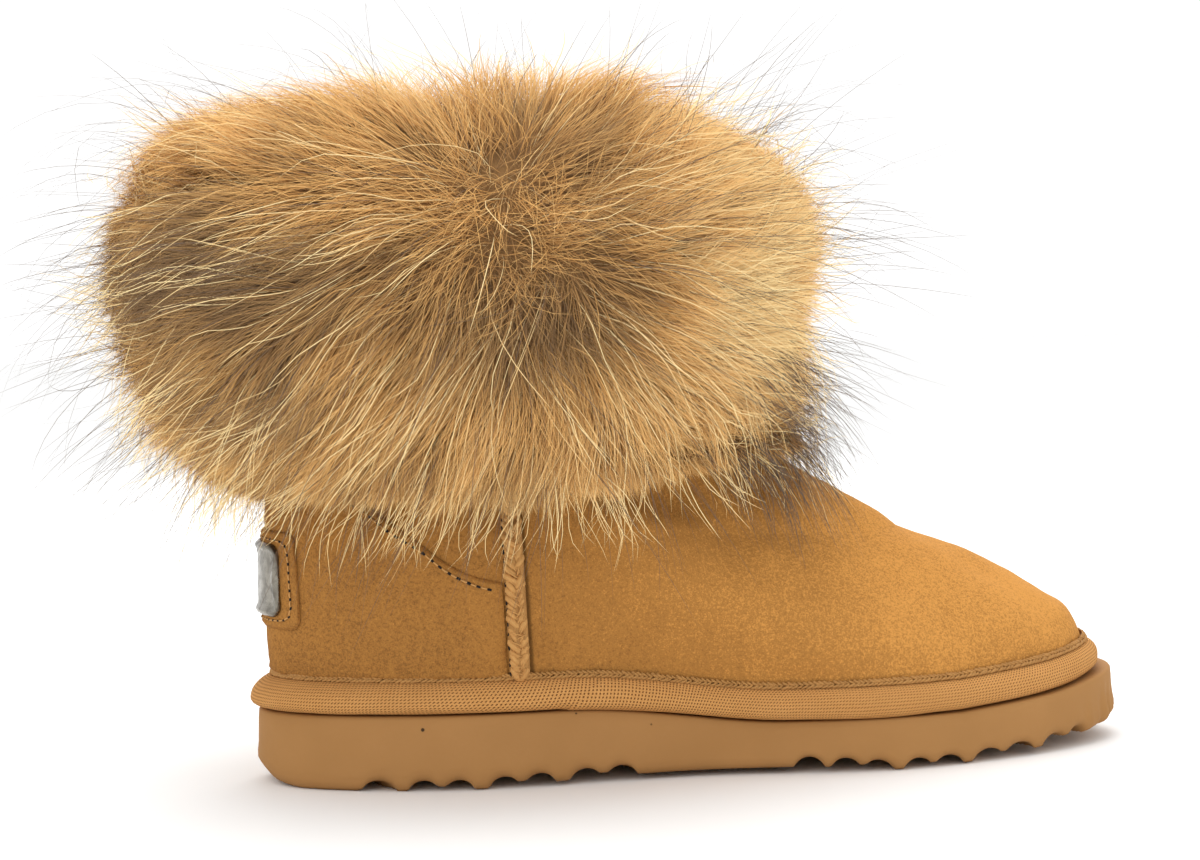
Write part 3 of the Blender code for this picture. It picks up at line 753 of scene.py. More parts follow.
def stitch_tree():
    """A tree that sets one bowed thread on each point, turned by the attributes way and out."""
    tree = bpy.data.node_groups.get("thread_row")
    if tree:
        return tree
    tree = bpy.data.node_groups.new("thread_row", "GeometryNodeTree")
    for name, kind in (
        ("Geometry", "Geometry"), ("Length", "Float"), ("Bow", "Float"), ("Slant", "Float"),
        ("Radius", "Float"), ("Material", "Material"),
    ):
        tree.interface.new_socket(name, in_out="INPUT", socket_type=f"NodeSocket{kind}")
    tree.interface.new_socket("Geometry", in_out="OUTPUT", socket_type="NodeSocketGeometry")

    def node(kind, sockets, **settings):
        """The outputs of a new node: its own settings first, then its sockets."""
        made = tree.nodes.new(kind)
        for name, value in settings.items():
            setattr(made, name, value)
        for key, value in sockets.items():
            if isinstance(value, bpy.types.NodeSocket):
                tree.links.new(value, made.inputs[key])
            else:
                made.inputs[key].default_value = value
        return made.outputs

    def times(value, factor):
        return node("ShaderNodeMath", {0: value, 1: factor}, operation="MULTIPLY")[0]

    def corner(x, y, z=0.0):
        return node("ShaderNodeCombineXYZ", {"X": x, "Y": y, "Z": z})[0]

    def attribute(name, kind):
        read = node("GeometryNodeInputNamedAttribute", {"Name": name}, data_type=kind)
        return read["Attribute"]

    form = node("NodeGroupInput", {})
    ahead = times(form["Length"], 0.5)
    back = times(ahead, -1.0)
    aside = times(form["Slant"], -1.0)
    line = node("GeometryNodeCurvePrimitiveBezierSegment", {
        "Resolution": 4,
        "Start": corner(back, aside),
        "Start Handle": corner(back, aside, form["Bow"]),
        "End Handle": corner(ahead, form["Slant"], form["Bow"]),
        "End": corner(ahead, form["Slant"]),
    }, mode="POSITION")[0]
    ring = node(
        "GeometryNodeCurvePrimitiveCircle", {"Resolution": 5, "Radius": form["Radius"]}
    )[0]
    tube = node(
        "GeometryNodeCurveToMesh", {"Curve": line, "Profile Curve": ring, "Fill Caps": True}
    )[0]
    turn = node("FunctionNodeAxesToRotation", {
        0: attribute("way", "FLOAT_VECTOR"), 1: attribute("out", "FLOAT_VECTOR"),
    }, primary_axis="X", secondary_axis="Z")[0]
    rows = node("GeometryNodeInstanceOnPoints", {
        "Points": form["Geometry"], "Instance": tube, "Rotation": turn,
        "Scale": attribute("size", "FLOAT"),
    })[0]
    real = node("GeometryNodeRealizeInstances", {0: rows})[0]
    smooth = node("GeometryNodeSetShadeSmooth", {0: real})[0]
    dressed = node(
        "GeometryNodeSetMaterial", {"Geometry": smooth, "Material": form["Material"]}
    )[0]
    node("NodeGroupOutput", {0: dressed})
    return tree


def thread_row(name, points, ways, outs, scales, length, bow, radius, material, slant=0.0):
    """A mesh of bowed threads at points, each along its way and bowed towards its out."""
    seed = bpy.data.meshes.new(name)
    seed.from_pydata(points.tolist(), [], [])
    for key, kind, field, values in (
        ("way", "FLOAT_VECTOR", "vector", ways),
        ("out", "FLOAT_VECTOR", "vector", outs),
        ("size", "FLOAT", "value", scales),
    ):
        data = np.ascontiguousarray(values, np.float32).ravel()
        seed.attributes.new(key, kind, "POINT").data.foreach_set(field, data)
    holder = bpy.data.objects.new(name, seed)
    bpy.context.scene.collection.objects.link(holder)
    tree = stitch_tree()
    rows = holder.modifiers.new("thread_row", "NODES")
    rows.node_group = tree
    form = {"Length": length, "Bow": bow, "Slant": slant, "Radius": radius, "Material": material}
    for item in tree.interface.items_tree:
        if item.in_out == "INPUT" and item.name in form:
            rows[item.identifier] = form[item.name]
    bpy.context.view_layer.update()
    shown = holder.evaluated_get(bpy.context.evaluated_depsgraph_get())
    mesh = bpy.data.meshes.new_from_object(shown)
    bpy.data.objects.remove(holder)
    return mesh


def along_line(line, normals, spacing, closed=False, jitter=0.0, seed=1):
    """Points at even steps along a line, with the line's way and the surface's normal there."""
    if closed:
        line = np.concatenate((line, line[:1]))
        normals = np.concatenate((normals, normals[:1]))
    arc = np.concatenate(([0], np.cumsum(np.linalg.norm(np.diff(line, axis=0), axis=1))))
    count = max(2, round(arc[-1] / spacing))
    at = (np.arange(count) + 0.5) * arc[-1] / count
    dice = np.random.default_rng(seed)
    at = at + dice.uniform(-jitter, jitter, count) * spacing
    step = spacing * 0.25

    def read(values, at):
        return np.stack([np.interp(at, arc, values[:, i]) for i in range(3)], -1)

    points = read(line, at)
    ways = unit(read(line, at + step) - read(line, at - step))
    return points, ways, unit(read(normals, at))


def merged(name, meshes):
    """Several meshes as one, with their materials side by side."""
    body = bmesh.new()
    materials = []
    for mesh in meshes:
        first = len(body.faces)
        body.from_mesh(mesh)
        body.faces.ensure_lookup_table()
        shift = len(materials)
        for face in body.faces[first:]:
            face.material_index += shift
        materials.extend(mesh.materials[:] or [None])
    made = bpy.data.meshes.new(name)
    body.to_mesh(made)
    body.free()
    for material in materials:
        made.materials.append(material)
    made.shade_smooth()
    return made


def stitch_line(name, row, scales, spacing, sunk, thread, proud, hole_shade):
    """A piece of threads sunk a little into a face, with a dark mark of painted shade for a needle
    hole between each two.
    """
    points, ways, outs = row
    threads = thread_row(
        f"{name}_thread", points - outs * sunk, ways, outs, scales, *thread, finish("thread")
    )
    # Painted shade: a dark mark for each needle hole, between two threads.
    between = points + ways * spacing * 0.5 + outs * proud
    hole_shades = thread_row(f"{name}_holes", between, ways, outs, scales, *hole_shade, finish("hole_shade"))
    piece(f"{name}_stitches", merged(f"{name}_stitches", [threads, hole_shades]), "braid")


# The sole


def tread_lift(x, y):
    """How far the tread's grooves are cut into the sole at x and y."""
    sunk = GROOVE_RADIUS - GROOVE_DEPTH
    swing = GROOVE_SWING * np.cos(2 * math.pi * y / GROOVE_WAVE)
    lift = np.zeros(np.broadcast(x, y).shape)

    def scoop(middle):
        away = np.clip(np.abs(x - middle - swing), 0, GROOVE_RADIUS)
        return np.sqrt(GROOVE_RADIUS**2 - away**2) - sunk

    for start, end, pitch in TREAD_REGIONS:
        notch = HEEL_EDGE + start * SOLE_LENGTH
        lift = np.maximum(lift, scoop(notch))
        for i in range(int((end - start) * SOLE_LENGTH // pitch)):
            middle = notch + (i + FIRST_PAIR) * pitch
            spread = PAIR_SPREAD * pitch
            inner = np.abs(x - middle - swing) < spread / 2
            lift = np.maximum(lift, np.where(inner, INNER_LUG_CUT, 0))
            for aside in (-spread / 2, spread / 2):
                lift = np.maximum(lift, scoop(middle + aside))
    return lift


def sole_mesh(columns):
    """The foam sole: a wall with a soft foot edge, and lugs between waved grooves under it."""
    turns = ring_turns(columns)
    rows = []
    for share in (0.0, 0.5):
        edge = sole_outline(turns, np.full(columns, SOLE_WALL[0][1]))
        y = centre((edge[:, 0] - HEEL_EDGE) / SOLE_LENGTH)
        flat = np.column_stack((edge[:, 0], mix(y, edge[:, 1], share)))
        rows.append(np.column_stack((flat, seat(flat[:, 0]))))
    teeth = ease(np.abs(turns - math.pi), 0.62, 0.3)
    toe_arc = turns * TOE_RADIUS
    ragged = lumps(np.column_stack((toe_arc, 0 * turns, 0 * turns)), 0.0021, 4)
    for share, out in SOLE_WALL:
        low = ease(share, 0.85, 0.1)
        rag = TOE_RAG * teeth * low * ragged
        edge = sole_outline(turns, out + rag)
        bottom = sole_bottom(edge[:, 0]) + tread_lift(edge[:, 0], edge[:, 1])
        rows.append(np.column_stack((edge, mix(bottom, seat(edge[:, 0]), share))))
    last = sole_outline(turns, np.full(columns, SOLE_WALL[-1][1]))
    y = centre((last[:, 0] - HEEL_EDGE) / SOLE_LENGTH)
    for share in np.linspace(1, 0, 26)[1:]:
        across = mix(y, last[:, 1], share)
        z = sole_bottom(last[:, 0]) + tread_lift(last[:, 0], across)
        rows.append(np.column_stack((last[:, 0], across, z)))
    return tidy_shell(grid_mesh("sole", np.array(rows)), weld=WELD, sharp=50)


# The upper and what is sewn on it

# Soft troughs and ridges of the hide: name, x and z where each starts and ends, half width,
# depth (out is more than 0), and the side it is on (1 outer, -1 inner, 0 both)
CREASES = (
    ("gutter_by_the_seam", 0.0585, 0.030, 0.0535, 0.105, 0.0032, -0.0010, 0),
    ("ankle_fold", 0.080, 0.088, 0.105, 0.079, 0.007, -0.0016, 0),
    ("ankle_ridge", 0.078, 0.078, 0.108, 0.070, 0.006, 0.0012, 0),
    ("vamp_dent", 0.120, 0.060, 0.150, 0.048, 0.009, -0.0009, 1),
    ("vamp_ridge", 0.098, 0.056, 0.140, 0.040, 0.010, 0.0008, 1),
    ("heel_dent", 0.018, 0.052, 0.032, 0.040, 0.009, -0.0009, 0),
    ("side_dent", 0.075, 0.052, 0.092, 0.036, 0.008, -0.0008, 1),
    ("inner_arch", 0.080, 0.046, 0.120, 0.036, 0.010, -0.0010, -1),
    ("toe_crown", 0.185, 0.052, 0.212, 0.042, 0.012, 0.0007, 0),
    ("toe_dent", 0.165, 0.058, 0.178, 0.046, 0.008, -0.0006, 0),
)


def hide_relief(points):
    """How far the hide stands out of its plain form at points on it."""
    x, y, z = points[..., 0], points[..., 1], points[..., 2]
    relief = 0.00035 * lumps(points, 0.016, 11) + 0.00015 * lumps(points, 0.006, 12)
    for _, x0, z0, x1, z1, width, depth, side in CREASES:
        ax, az = x - x0, z - z0
        bx, bz = x1 - x0, z1 - z0
        length = math.hypot(bx, bz)
        share = (ax * bx + az * bz) / length**2
        beyond = np.maximum(np.abs(share - 0.5) - 0.5, 0) * length
        across = np.abs(ax * bz - az * bx) / length
        fade = np.exp(-((across / width) ** 2) - (beyond / (1.5 * width)) ** 2)
        if side:
            fade = fade * ease(-side * y, 0.0, 0.02)
        relief = relief + depth * fade
    gather = z - seat(x) - BAND_HEIGHT
    pucker = np.exp(-((gather / 0.004) ** 2)) * 0.00025
    return relief * ease(gather, -0.002, 0.008) + pucker * lumps(points, 0.0035, 13)


def upper_mesh(columns):
    """The hide: its outer face with creases, its rim, and its inner face."""
    turns = ring_turns(columns)
    rises = np.concatenate((np.linspace(0, 0.62, 74), np.linspace(0.62, 1, 16)[1:]))
    turn, rise = np.meshgrid(turns, rises)
    plain = upper_at(turn, rise)
    outside = plain + hide_relief(plain)[..., None] * upper_normal(turn, rise)
    inner_rises = np.linspace(1, 0, 24)
    turn, rise = np.meshgrid(turns, inner_rises)
    inside = upper_out(turn, rise, np.full(turn.shape, -UPPER_WALL))
    inside[0] = upper_out(turns, 1.0, -UPPER_WALL, level=True)
    inside[-1] = upper_out(turns, 0.0, -UPPER_WALL, level=True)
    inside[-1][:, 2] = seat(inside[-1][:, 0]) + PIECE_GAP
    grid = np.concatenate((outside, inside))
    return tidy_shell(grid_mesh("hide", grid, rows_close=True), sharp=70)


def lining_mesh(columns):
    """The fleece inside the shaft and foot: lumped on its open face."""
    turns = ring_turns(columns)
    rises = np.linspace(0.035, 0.985, 34)
    turn, rise = np.meshgrid(turns, rises)
    back = upper_out(turn, rise, -UPPER_WALL - PIECE_GAP)
    pile = PILE_HEIGHT + PILE_LUMPS * lumps(upper_at(turn, rise), 0.0042, 21)
    pile = pile * np.minimum(1, np.minimum(rise - 0.02, 1.0 - rise) / 0.03)
    face = upper_out(turn, rise, -UPPER_WALL - PIECE_GAP - np.maximum(pile, 0.0003))
    grid = np.concatenate((back, face[::-1]))
    return tidy_shell(grid_mesh("lining", grid, rows_close=True))


def insole_mesh(columns):
    """The fleece under the foot: a lumped top on a flat board."""
    turns = ring_turns(columns)
    edge = upper_out(turns, 0.0, -UPPER_WALL - 2 * PIECE_GAP, level=True)
    middle = centre((edge[:, 0] - HEEL_EDGE) / SOLE_LENGTH)
    rows = []
    board = (PIECE_GAP, np.linspace(0, 1, 5))
    pile = (INSOLE_THICKNESS, np.linspace(1, 0, 34))
    for up, shares in (board, pile):
        for share in shares:
            y = mix(middle, edge[:, 1], share)
            row = np.column_stack((edge[:, 0], y, seat(edge[:, 0]) + up))
            if up > PIECE_GAP:
                fade = min(1.0, 4 * (1 - share) + 0.2)
                row[:, 2] += PILE_LUMPS * lumps(row, 0.0045, 22) * fade
            rows.append(row)
    return tidy_shell(grid_mesh("insole", np.array(rows)), weld=WELD, sharp=60)


def band_grid(columns):
    """Rows round the rolled tape, from its top edge over its bead to its foot and back inside."""
    turns = ring_turns(columns)
    swell = BAND_THICKNESS * (1 + BAND_HEEL_SWELL * np.maximum(np.cos(turns), 0) ** 4)
    place = np.column_stack((np.cos(turns), np.sin(turns), turns * 0)) * 0.1
    slack = lumps(place, 0.022, 31)
    rows = []
    for up, out in TAPE_PROFILE:
        height = up * BAND_HEIGHT
        rise = rise_at(turns, height + PIECE_GAP, above_seat=True)
        hang = ease(out, 0.3, 0.8) * ease(up, 0.6, 0.1)
        reach = np.maximum(out * swell + 0.0004 * hang * slack, PIECE_GAP)
        ring = upper_out(turns, rise, reach, level=True)
        sag = 0.0003 * hang * (slack - 0.4) * (up > 0.04)
        ring[:, 2] = seat(ring[:, 0]) + PIECE_GAP + height + sag
        rows.append(ring)
    return np.array(rows)


def tape_join(grid, uv, place, spread):
    """Lifts the lapped end of the tape over its start, on a slant."""
    along = uv[:-1, :-1, 0] - place
    across = uv[:-1, :-1, 1]
    outer = ease(across, 0.001, 0.003) * ease(0.0165 - across, 0.0, 0.002)
    step = ease(along + 0.9 * across, 0.0, 0.0009) * ease(spread - along, 0.0, spread)
    middle = grid.mean(axis=0, keepdims=True)
    return grid + (TAPE_LAP * outer * step)[..., None] * unit(grid - middle)


def counter_limits(columns, rows):
    """Turns and rises over the counter, from the tape up to its curved edge."""
    shares = np.linspace(-1, 1, columns)
    edge_gap = SEAM_WIDTH / 2 + 2 * PIECE_GAP
    fall = COUNTER_HEIGHT - COUNTER_SIDE_HEIGHT
    top = HEEL_STACK + COUNTER_SIDE_HEIGHT + fall * through(COUNTER_EDGE, np.abs(shares))
    turn = shares * turn_at_x(seam_x(0.0) - edge_gap, 0.1)
    low = rise_at(turn, BAND_HEIGHT + 3 * PIECE_GAP, above_seat=True)
    high = rise_at(turn, top)
    for _ in range(2):
        turn = shares * turn_at_x(seam_x(high) - edge_gap, high)
        high = rise_at(turn, top)
    turns = np.empty((rows, columns))
    rises = np.empty_like(turns)
    for j, up in enumerate(np.linspace(0, 1, rows)):
        rise = mix(low, high, up)
        turns[j] = shares * turn_at_x(seam_x(rise) - edge_gap, rise)
        rises[j] = rise
    return turns, rises


def cushion_slab(name, turns, rises, base, thickness, round_edge, relief):
    """A sheet on the upper with its four edges rolled down, as a closed shell."""
    points = upper_at(turns, rises)
    rows, columns = turns.shape
    across = np.linalg.norm(np.diff(points, axis=1), axis=-1)
    up = np.linalg.norm(np.diff(points, axis=0), axis=-1)
    left = np.concatenate((np.zeros((rows, 1)), np.cumsum(across, axis=1)), axis=1)
    low = np.concatenate((np.zeros((1, columns)), np.cumsum(up, axis=0)), axis=0)
    inward = np.minimum(np.minimum(left, left[:, -1:] - left), np.minimum(low, low[-1:] - low))
    share = np.clip(inward / round_edge, 0, 1)
    height = base + thickness * (0.25 + 0.75 * np.sqrt(1 - (1 - share) ** 2))
    height = height + relief(points, inward)
    outside = upper_out(turns, rises, height)
    inside = upper_out(turns, rises, base)
    return sheet_shell(name, outside, inside)


# Threads of the side seam: column of its grid, spacing, slant, length, bow, radius, how
# unevenly they lie, and their finish
SEAM_THREADS = (
    (7, 0.0023, 0.0010, 0.0026, 0.0010, 0.00080, 0.15, "thread"),
    (16, 0.0024, -0.0011, 0.0028, 0.0011, 0.00090, 0.15, "thread"),
    (9, 0.0031, 0.0013, 0.0024, 0.0016, 0.00017, 0.35, "thread"),
    (15, 0.0029, -0.0014, 0.0024, 0.0017, 0.00018, 0.35, "thread"),
    # The last row is no thread: dark marks of painted shade that stand for the stitch holes along
    # the seam's edge.
    (1, 0.0024, 0.0, 0.0009, 0.0004, 0.00026, 0.2, "hole_shade"),
)


def sheet_shell(name, outside, inside):
    """A closed shell between an outer and an inner sheet of points."""
    grid = np.concatenate((outside, inside[:, ::-1]), axis=1)
    rows, width = grid.shape[:2]
    mesh = grid_mesh(name, grid)
    body = bmesh.new()
    body.from_mesh(mesh)
    body.verts.ensure_lookup_table()
    for row in (0, rows - 1):
        for i in range(width // 2 - 1):
            a, b = row * width + i, row * width + i + 1
            c, d = row * width + width - 2 - i, row * width + width - 1 - i
            body.faces.new([body.verts[k] for k in (a, b, c, d)])
    body.to_mesh(mesh)
    body.free()
    return tidy_shell(mesh, sharp=60)


def edge_groove(depth, inset, width=0.0006):
    """A relief that sinks a line of stitches at `inset` from the edge of a sheet."""

    def relief(points, inward):
        puff = 0.00012 * lumps(points, 0.005, 41)
        return puff - depth * np.exp(-(((inward - inset) / width) ** 2))

    return relief


def counter_stitches(turns, rises, inset):
    """The stitch line just inside the counter's curved edge, on its face."""
    drop = inset / SHAFT_HEIGHT
    top_turn, top_rise = turns[-1], rises[-1]
    face = PIECE_GAP + COUNTER_THICKNESS
    line = upper_out(top_turn, top_rise - drop, face)
    normals = upper_normal(top_turn, top_rise - drop)
    return line[3:-3], normals[3:-3]


def seam_grid(side, columns, rows):
    """The raised side seam: two ribs with a valley, lumped like a pulled braid."""
    across = np.linspace(-1, 1, columns)
    low = rise_at(math.pi / 3, BAND_HEIGHT + 3 * PIECE_GAP, above_seat=True)
    rises = np.linspace(low, SEAM_END_RISE, rows)[:, None] * np.ones((1, columns))
    places = seam_x(rises) + across * SEAM_WIDTH / 2
    turns = turn_at_x(places, rises, side)
    dome = np.sqrt(np.maximum(1 - across**2, 0))
    valley = np.exp(-(((across - 0.3) / 0.16) ** 2))
    plain = upper_at(turns, rises)
    knots = 0.00028 * lumps(plain, 0.0024, 51) + 0.00016 * lumps(plain, 0.0011, 52)
    wraps = 0.00010 * np.sin(plain[..., 2] / 0.00085 * 2 * math.pi)
    height = PIECE_GAP + SEAM_RAISE * np.maximum(dome, 0.15) - 0.0006 * valley
    height = height + (knots + wraps) * dome
    outside = upper_out(turns, rises, np.maximum(height, PIECE_GAP + 0.0002))
    inside = upper_out(turns, rises, PIECE_GAP)
    return outside, inside, turns, rises


def plaque_limits(width, height, columns, rows):
    """Turns and rises over a sheet with round corners at the middle of the heel."""
    corner = CORNER_RADIUS
    middle = HEEL_STACK + PATCH_LIFT
    round_part = np.linspace(0, math.pi / 2, 9)
    ends = width / 2 - corner * (1 - np.sin(round_part))
    flat = np.linspace(0, width / 2 - corner, columns)[:-1]
    half = np.concatenate((flat, ends))
    distance = np.concatenate((-half[:0:-1], half))
    beyond = np.clip(np.abs(distance) - (width / 2 - corner), 0, corner)
    drop = corner - np.sqrt(np.maximum(corner**2 - beyond**2, 0))
    turn = turn_at_arc(distance, middle)
    ups = np.linspace(-1, 1, rows)[:, None]
    turns = np.broadcast_to(turn, (rows, len(turn))).copy()
    rises = rise_at(turns, middle + ups * (height / 2 - drop))
    return turns, rises


def plaque_ring(width, height, inset, face):
    """A closed line inside a plaque's edge, on a face, with the normals there."""
    middle = HEEL_STACK + PATCH_LIFT
    angle = ring_turns(120)
    corner_power = 0.28
    along, up = (
        (size / 2 - inset) * np.sign(swing) * np.abs(swing) ** corner_power
        for size, swing in ((width, np.cos(angle)), (height, np.sin(angle)))
    )
    turn = turn_at_arc(along, middle)
    rise = rise_at(turn, middle + up)
    return upper_out(turn, rise, face), upper_normal(turn, rise)


# The fur


def fur_shells(turns):
    """The fur's outline and its skin, as rows round the section, and the rows on the upper."""
    collar = upper_at(turns, 1.0)
    outward = upper_normal(turns, 1.0, level=True)
    front = (0.5 - 0.5 * np.cos(turns)) ** 3
    back = (0.5 + 0.5 * np.cos(turns)) ** 2
    drop = FUR_DROP * (1 - FUR_FRONT_LIFT * front - FUR_BACK_LIFT * back)
    crest = FUR_CREST * (1 - FUR_CREST_DIP * np.cos(turns) ** 2)
    rows = []
    for _, out, up, room, _ in FUR_ROWS:
        point = collar + out * FUR_REACH * outward
        point[:, 2] += up * (drop if up < 0 else crest)
        wall = upper_at(turns, rise_at(turns, np.minimum(point[:, 2], collar[:, 2])))
        short = room * FUR_CLEARANCE - np.sum((point - wall) * outward, axis=-1)
        push = np.where(point[:, 2] >= collar[:, 2], 0.0, np.maximum(short, 0.0))
        rows.append(point + outward * push[:, None])
    coarse = np.array(rows)
    outline = smooth_rows(coarse, 4)
    depths = smooth_rows(np.array([[[row[4]]] for row in FUR_ROWS]), 4)[:, 0, 0]
    around = np.roll(outline, -1, axis=1) - np.roll(outline, 1, axis=1)
    up = np.gradient(outline, axis=0)
    normals = unit(np.cross(around, up))
    skin = outline - normals * depths[:, None, None]
    seats = np.array([
        upper_out(turns, rise, PIECE_GAP, level=rise == 1.0) for rise in FUR_SEAT_RISES
    ])
    return outline, skin, normals, seats


def smooth_rows(rows, steps):
    """More rows between the rows, on a curve through them."""
    padded = np.concatenate((2 * rows[:1] - rows[1:2], rows, 2 * rows[-1:] - rows[-2:-1]))
    made = []
    for i in range(1, len(padded) - 2):
        a, b, c, d = padded[i - 1 : i + 3]
        for t in np.arange(steps) / steps:
            made.append(
                0.5 * (2 * b + (c - a) * t + (2 * a - 5 * b + 4 * c - d) * t**2
                       + (3 * b - a - 3 * c + d) * t**3)
            )
    made.append(rows[-1])
    return np.array(made)


class Coat:
    """The fur's skin and the way that the coat lies on it."""

    def __init__(self, columns=COAT_COLUMNS):
        self.turns = ring_turns(columns)
        self.outline, self.skin, self.normals, self.seats = fur_shells(self.turns)
        self.rows, self.columns = self.skin.shape[:2]
        self.hem = np.broadcast_to(self.outline[:, :, 2:].min(axis=0), self.skin.shape)
        faces = grid_faces(self.rows, self.columns)[1]
        points = self.skin.reshape(-1, 3)
        self.tree = BVHTree.FromPolygons([Vector(p) for p in points], faces.tolist())

    def read(self, grid, row, column):
        """A grid read between its rows and columns; the columns go round."""
        r = np.clip(row, 0, self.rows - 1.001)
        c = np.mod(column, self.columns)
        r0, c0 = r.astype(int), c.astype(int)
        r1, c1 = r0 + 1, (c0 + 1) % self.columns
        u, v = (c - c0)[:, None], (r - r0)[:, None]
        low = mix(grid[r0, c0], grid[r0, c1], u)
        high = mix(grid[r1, c0], grid[r1, c1], u)
        return mix(low, high, v)

    def scatter(self, count, dice, first=1.5, last=None):
        """Places on the skin, as many to each bit of it as its size asks for."""
        last = self.rows - 2.5 if last is None else last
        across = np.roll(self.skin, -1, axis=1) - self.skin
        up = np.roll(self.skin, -1, axis=0) - self.skin
        size = np.linalg.norm(np.cross(across, up), axis=-1)[:-1]
        rows = np.arange(self.rows - 1)
        size[(rows < first) | (rows > last)] = 0
        cell = dice.choice(size.size, count, p=(size / size.sum()).ravel())
        row = cell // self.columns + dice.random(count)
        column = cell % self.columns + dice.random(count)
        return row, column

    def lay(self, points, normals):
        """The way that the coat is combed at points: away from the parting on each side."""
        total = np.zeros_like(points)
        for side in (-1, 1):
            near, distance = self.parting_point(points, side)
            away = points - near
            away -= np.sum(away * normals, axis=-1, keepdims=True) * normals
            combed = 0.1 + 0.9 * ease(distance, 0, 0.028)
            share = ease(side * points[:, 1], -0.05, 0.05) * combed
            total += unit(away) * share[:, None]
        return total

    def parting_point(self, points, side):
        """Where hair is combed away from on one side, and how far the parting is."""
        line = np.array([(x, side * PARTING_SIDE, z) for x, z in PARTING])
        best = np.full(len(points), np.inf)
        found = np.zeros_like(points)
        for start, end in zip(line, line[1:]):
            share = np.clip((points - start) @ (end - start) / np.sum((end - start) ** 2), 0, 1)
            place = start + share[:, None] * (end - start)
            away = np.linalg.norm(points - place, axis=1)
            closer = away < best
            best[closer] = away[closer]
            found[closer] = place[closer]
        whorl = np.array((WHORL[0], side * PARTING_SIDE, WHORL[1]))
        return mix(found, whorl, 0.25), best


def wave_noise(points, size, seed):
    """Slow waves along each of the three axes, at points."""
    return np.stack([lumps(points, size, seed + axis, 5) for axis in range(3)], -1)


def grow(coat, places, dice, reach, stand, steps, weight=0.25, overhang=0.003, wild=0.13):
    """Hairs from places on the skin, as rows of points from root to tip."""
    row, column = places
    count = len(row)
    roots = coat.read(coat.skin, row, column)
    normals = unit(coat.read(coat.normals, row, column))
    lay = coat.lay(roots, normals)
    drift = wave_noise(roots, 0.02, 61) * 0.25 + wave_noise(roots, 0.007, 64) * 0.28
    down = np.array((0, 0, -1.0))
    low = ease(-(row / (coat.rows - 1)), -0.34, -0.12)[:, None]
    weight = weight + 0.9 * low
    loose = wild * (1 + 2 * (1 - np.linalg.norm(lay, axis=1, keepdims=True)).clip(0, 1))
    first = unit(normals * stand + lay * 0.9 + drift + dice.normal(0, 1, roots.shape) * loose)
    last = unit(lay * 1.0 + normals * 0.25 + down * weight + drift * 1.2
                + dice.normal(0, 1, roots.shape) * loose)
    length = reach * (1 + 0.25 * dice.normal(0, 1, count).clip(-2, 2))
    over_hem = roots[:, 2] - coat.read(coat.hem, row, column)[:, 2]
    spare = overhang * (1 + 0.5 * np.abs(dice.normal(0, 1, count)))
    length = np.minimum(length, np.maximum(over_hem, 0) * 1.1 + spare)
    path = np.empty((count, steps, 3))
    path[:, 0] = roots
    for k in range(1, steps):
        share = (k - 0.5) / (steps - 1)
        way = unit(mix(first, last, share**0.8))
        path[:, k] = path[:, k - 1] + way * (length / (steps - 1))[:, None]
    return {"roots": roots, "normals": normals, "lay": lay, "path": path, "low": low[:, 0]}


def keep_near(hairs, dice):
    """Shortens the hairs that would reach too far past the box of the boot's solids."""
    low, high = (np.array(corner) for corner in CAD_BOX)
    slack = BOX_SHARE * (high - low) + BOX_SLACK
    root = hairs["path"][:, :1]
    move = hairs["path"] - root
    room = np.where(move > 0, high + slack - root, root - low + slack)
    share = (room / np.maximum(np.abs(move), 1e-9)).min(axis=(1, 2))
    share = np.where(share < 1, share * dice.uniform(0.75, 1.0, len(share)), 1.0)
    hairs["path"] = root + move * share[:, None, None]


def hold_height(coat, hairs, heights, free):
    """Keeps each hair's points at their heights over the skin, but for those left free."""
    path = hairs["path"]
    find = coat.tree.find_nearest
    for k in range(1, path.shape[1]):
        points = path[:, k]
        held = np.empty_like(points)
        for i, point in enumerate(points.tolist()):
            near, normal, _, _ = find(point)
            h = heights[i, k]
            held[i] = (near.x + normal.x * h, near.y + normal.y * h, near.z + normal.z * h)
        path[:, k] = mix(held, points, free[:, k, None])
    for _ in range(2):
        path[:, 1:-1] = 0.5 * path[:, 1:-1] + 0.25 * (path[:, :-2] + path[:, 2:])


def gather_tufts(hairs, dice, tufts, pull, wave):
    """Draws hairs together into tufts towards their tips, and gives each tuft its wave."""
    path, roots = hairs["path"], hairs["roots"]
    count, steps = path.shape[:2]
    chosen = dice.choice(count, tufts, replace=False)
    tree = KDTree(tufts)
    for i, k in enumerate(chosen):
        tree.insert(roots[k], i)
    tree.balance()
    owner = np.array([tree.find(root)[1] for root in roots.tolist()])
    guide = chosen[owner]
    t = np.linspace(0, 1, steps)[None, :, None]
    leader = path[guide] + (roots - roots[guide])[:, None, :] * (1 - 0.75 * t)
    strength = pull * t**0.8
    phase = dice.uniform(0, 2 * math.pi, tufts)[owner][:, None]
    turns = dice.uniform(0.5, 1.3, tufts)[owner][:, None]
    side = unit(np.cross(hairs["normals"], hairs["lay"] + 1e-6))
    swing = wave * t[:, :, 0] * np.sin(phase + turns * 2 * math.pi * t[:, :, 0])
    hairs["path"] = mix(path, leader, strength) + swing[..., None] * side[:, None, :]
    hairs["owner"] = owner


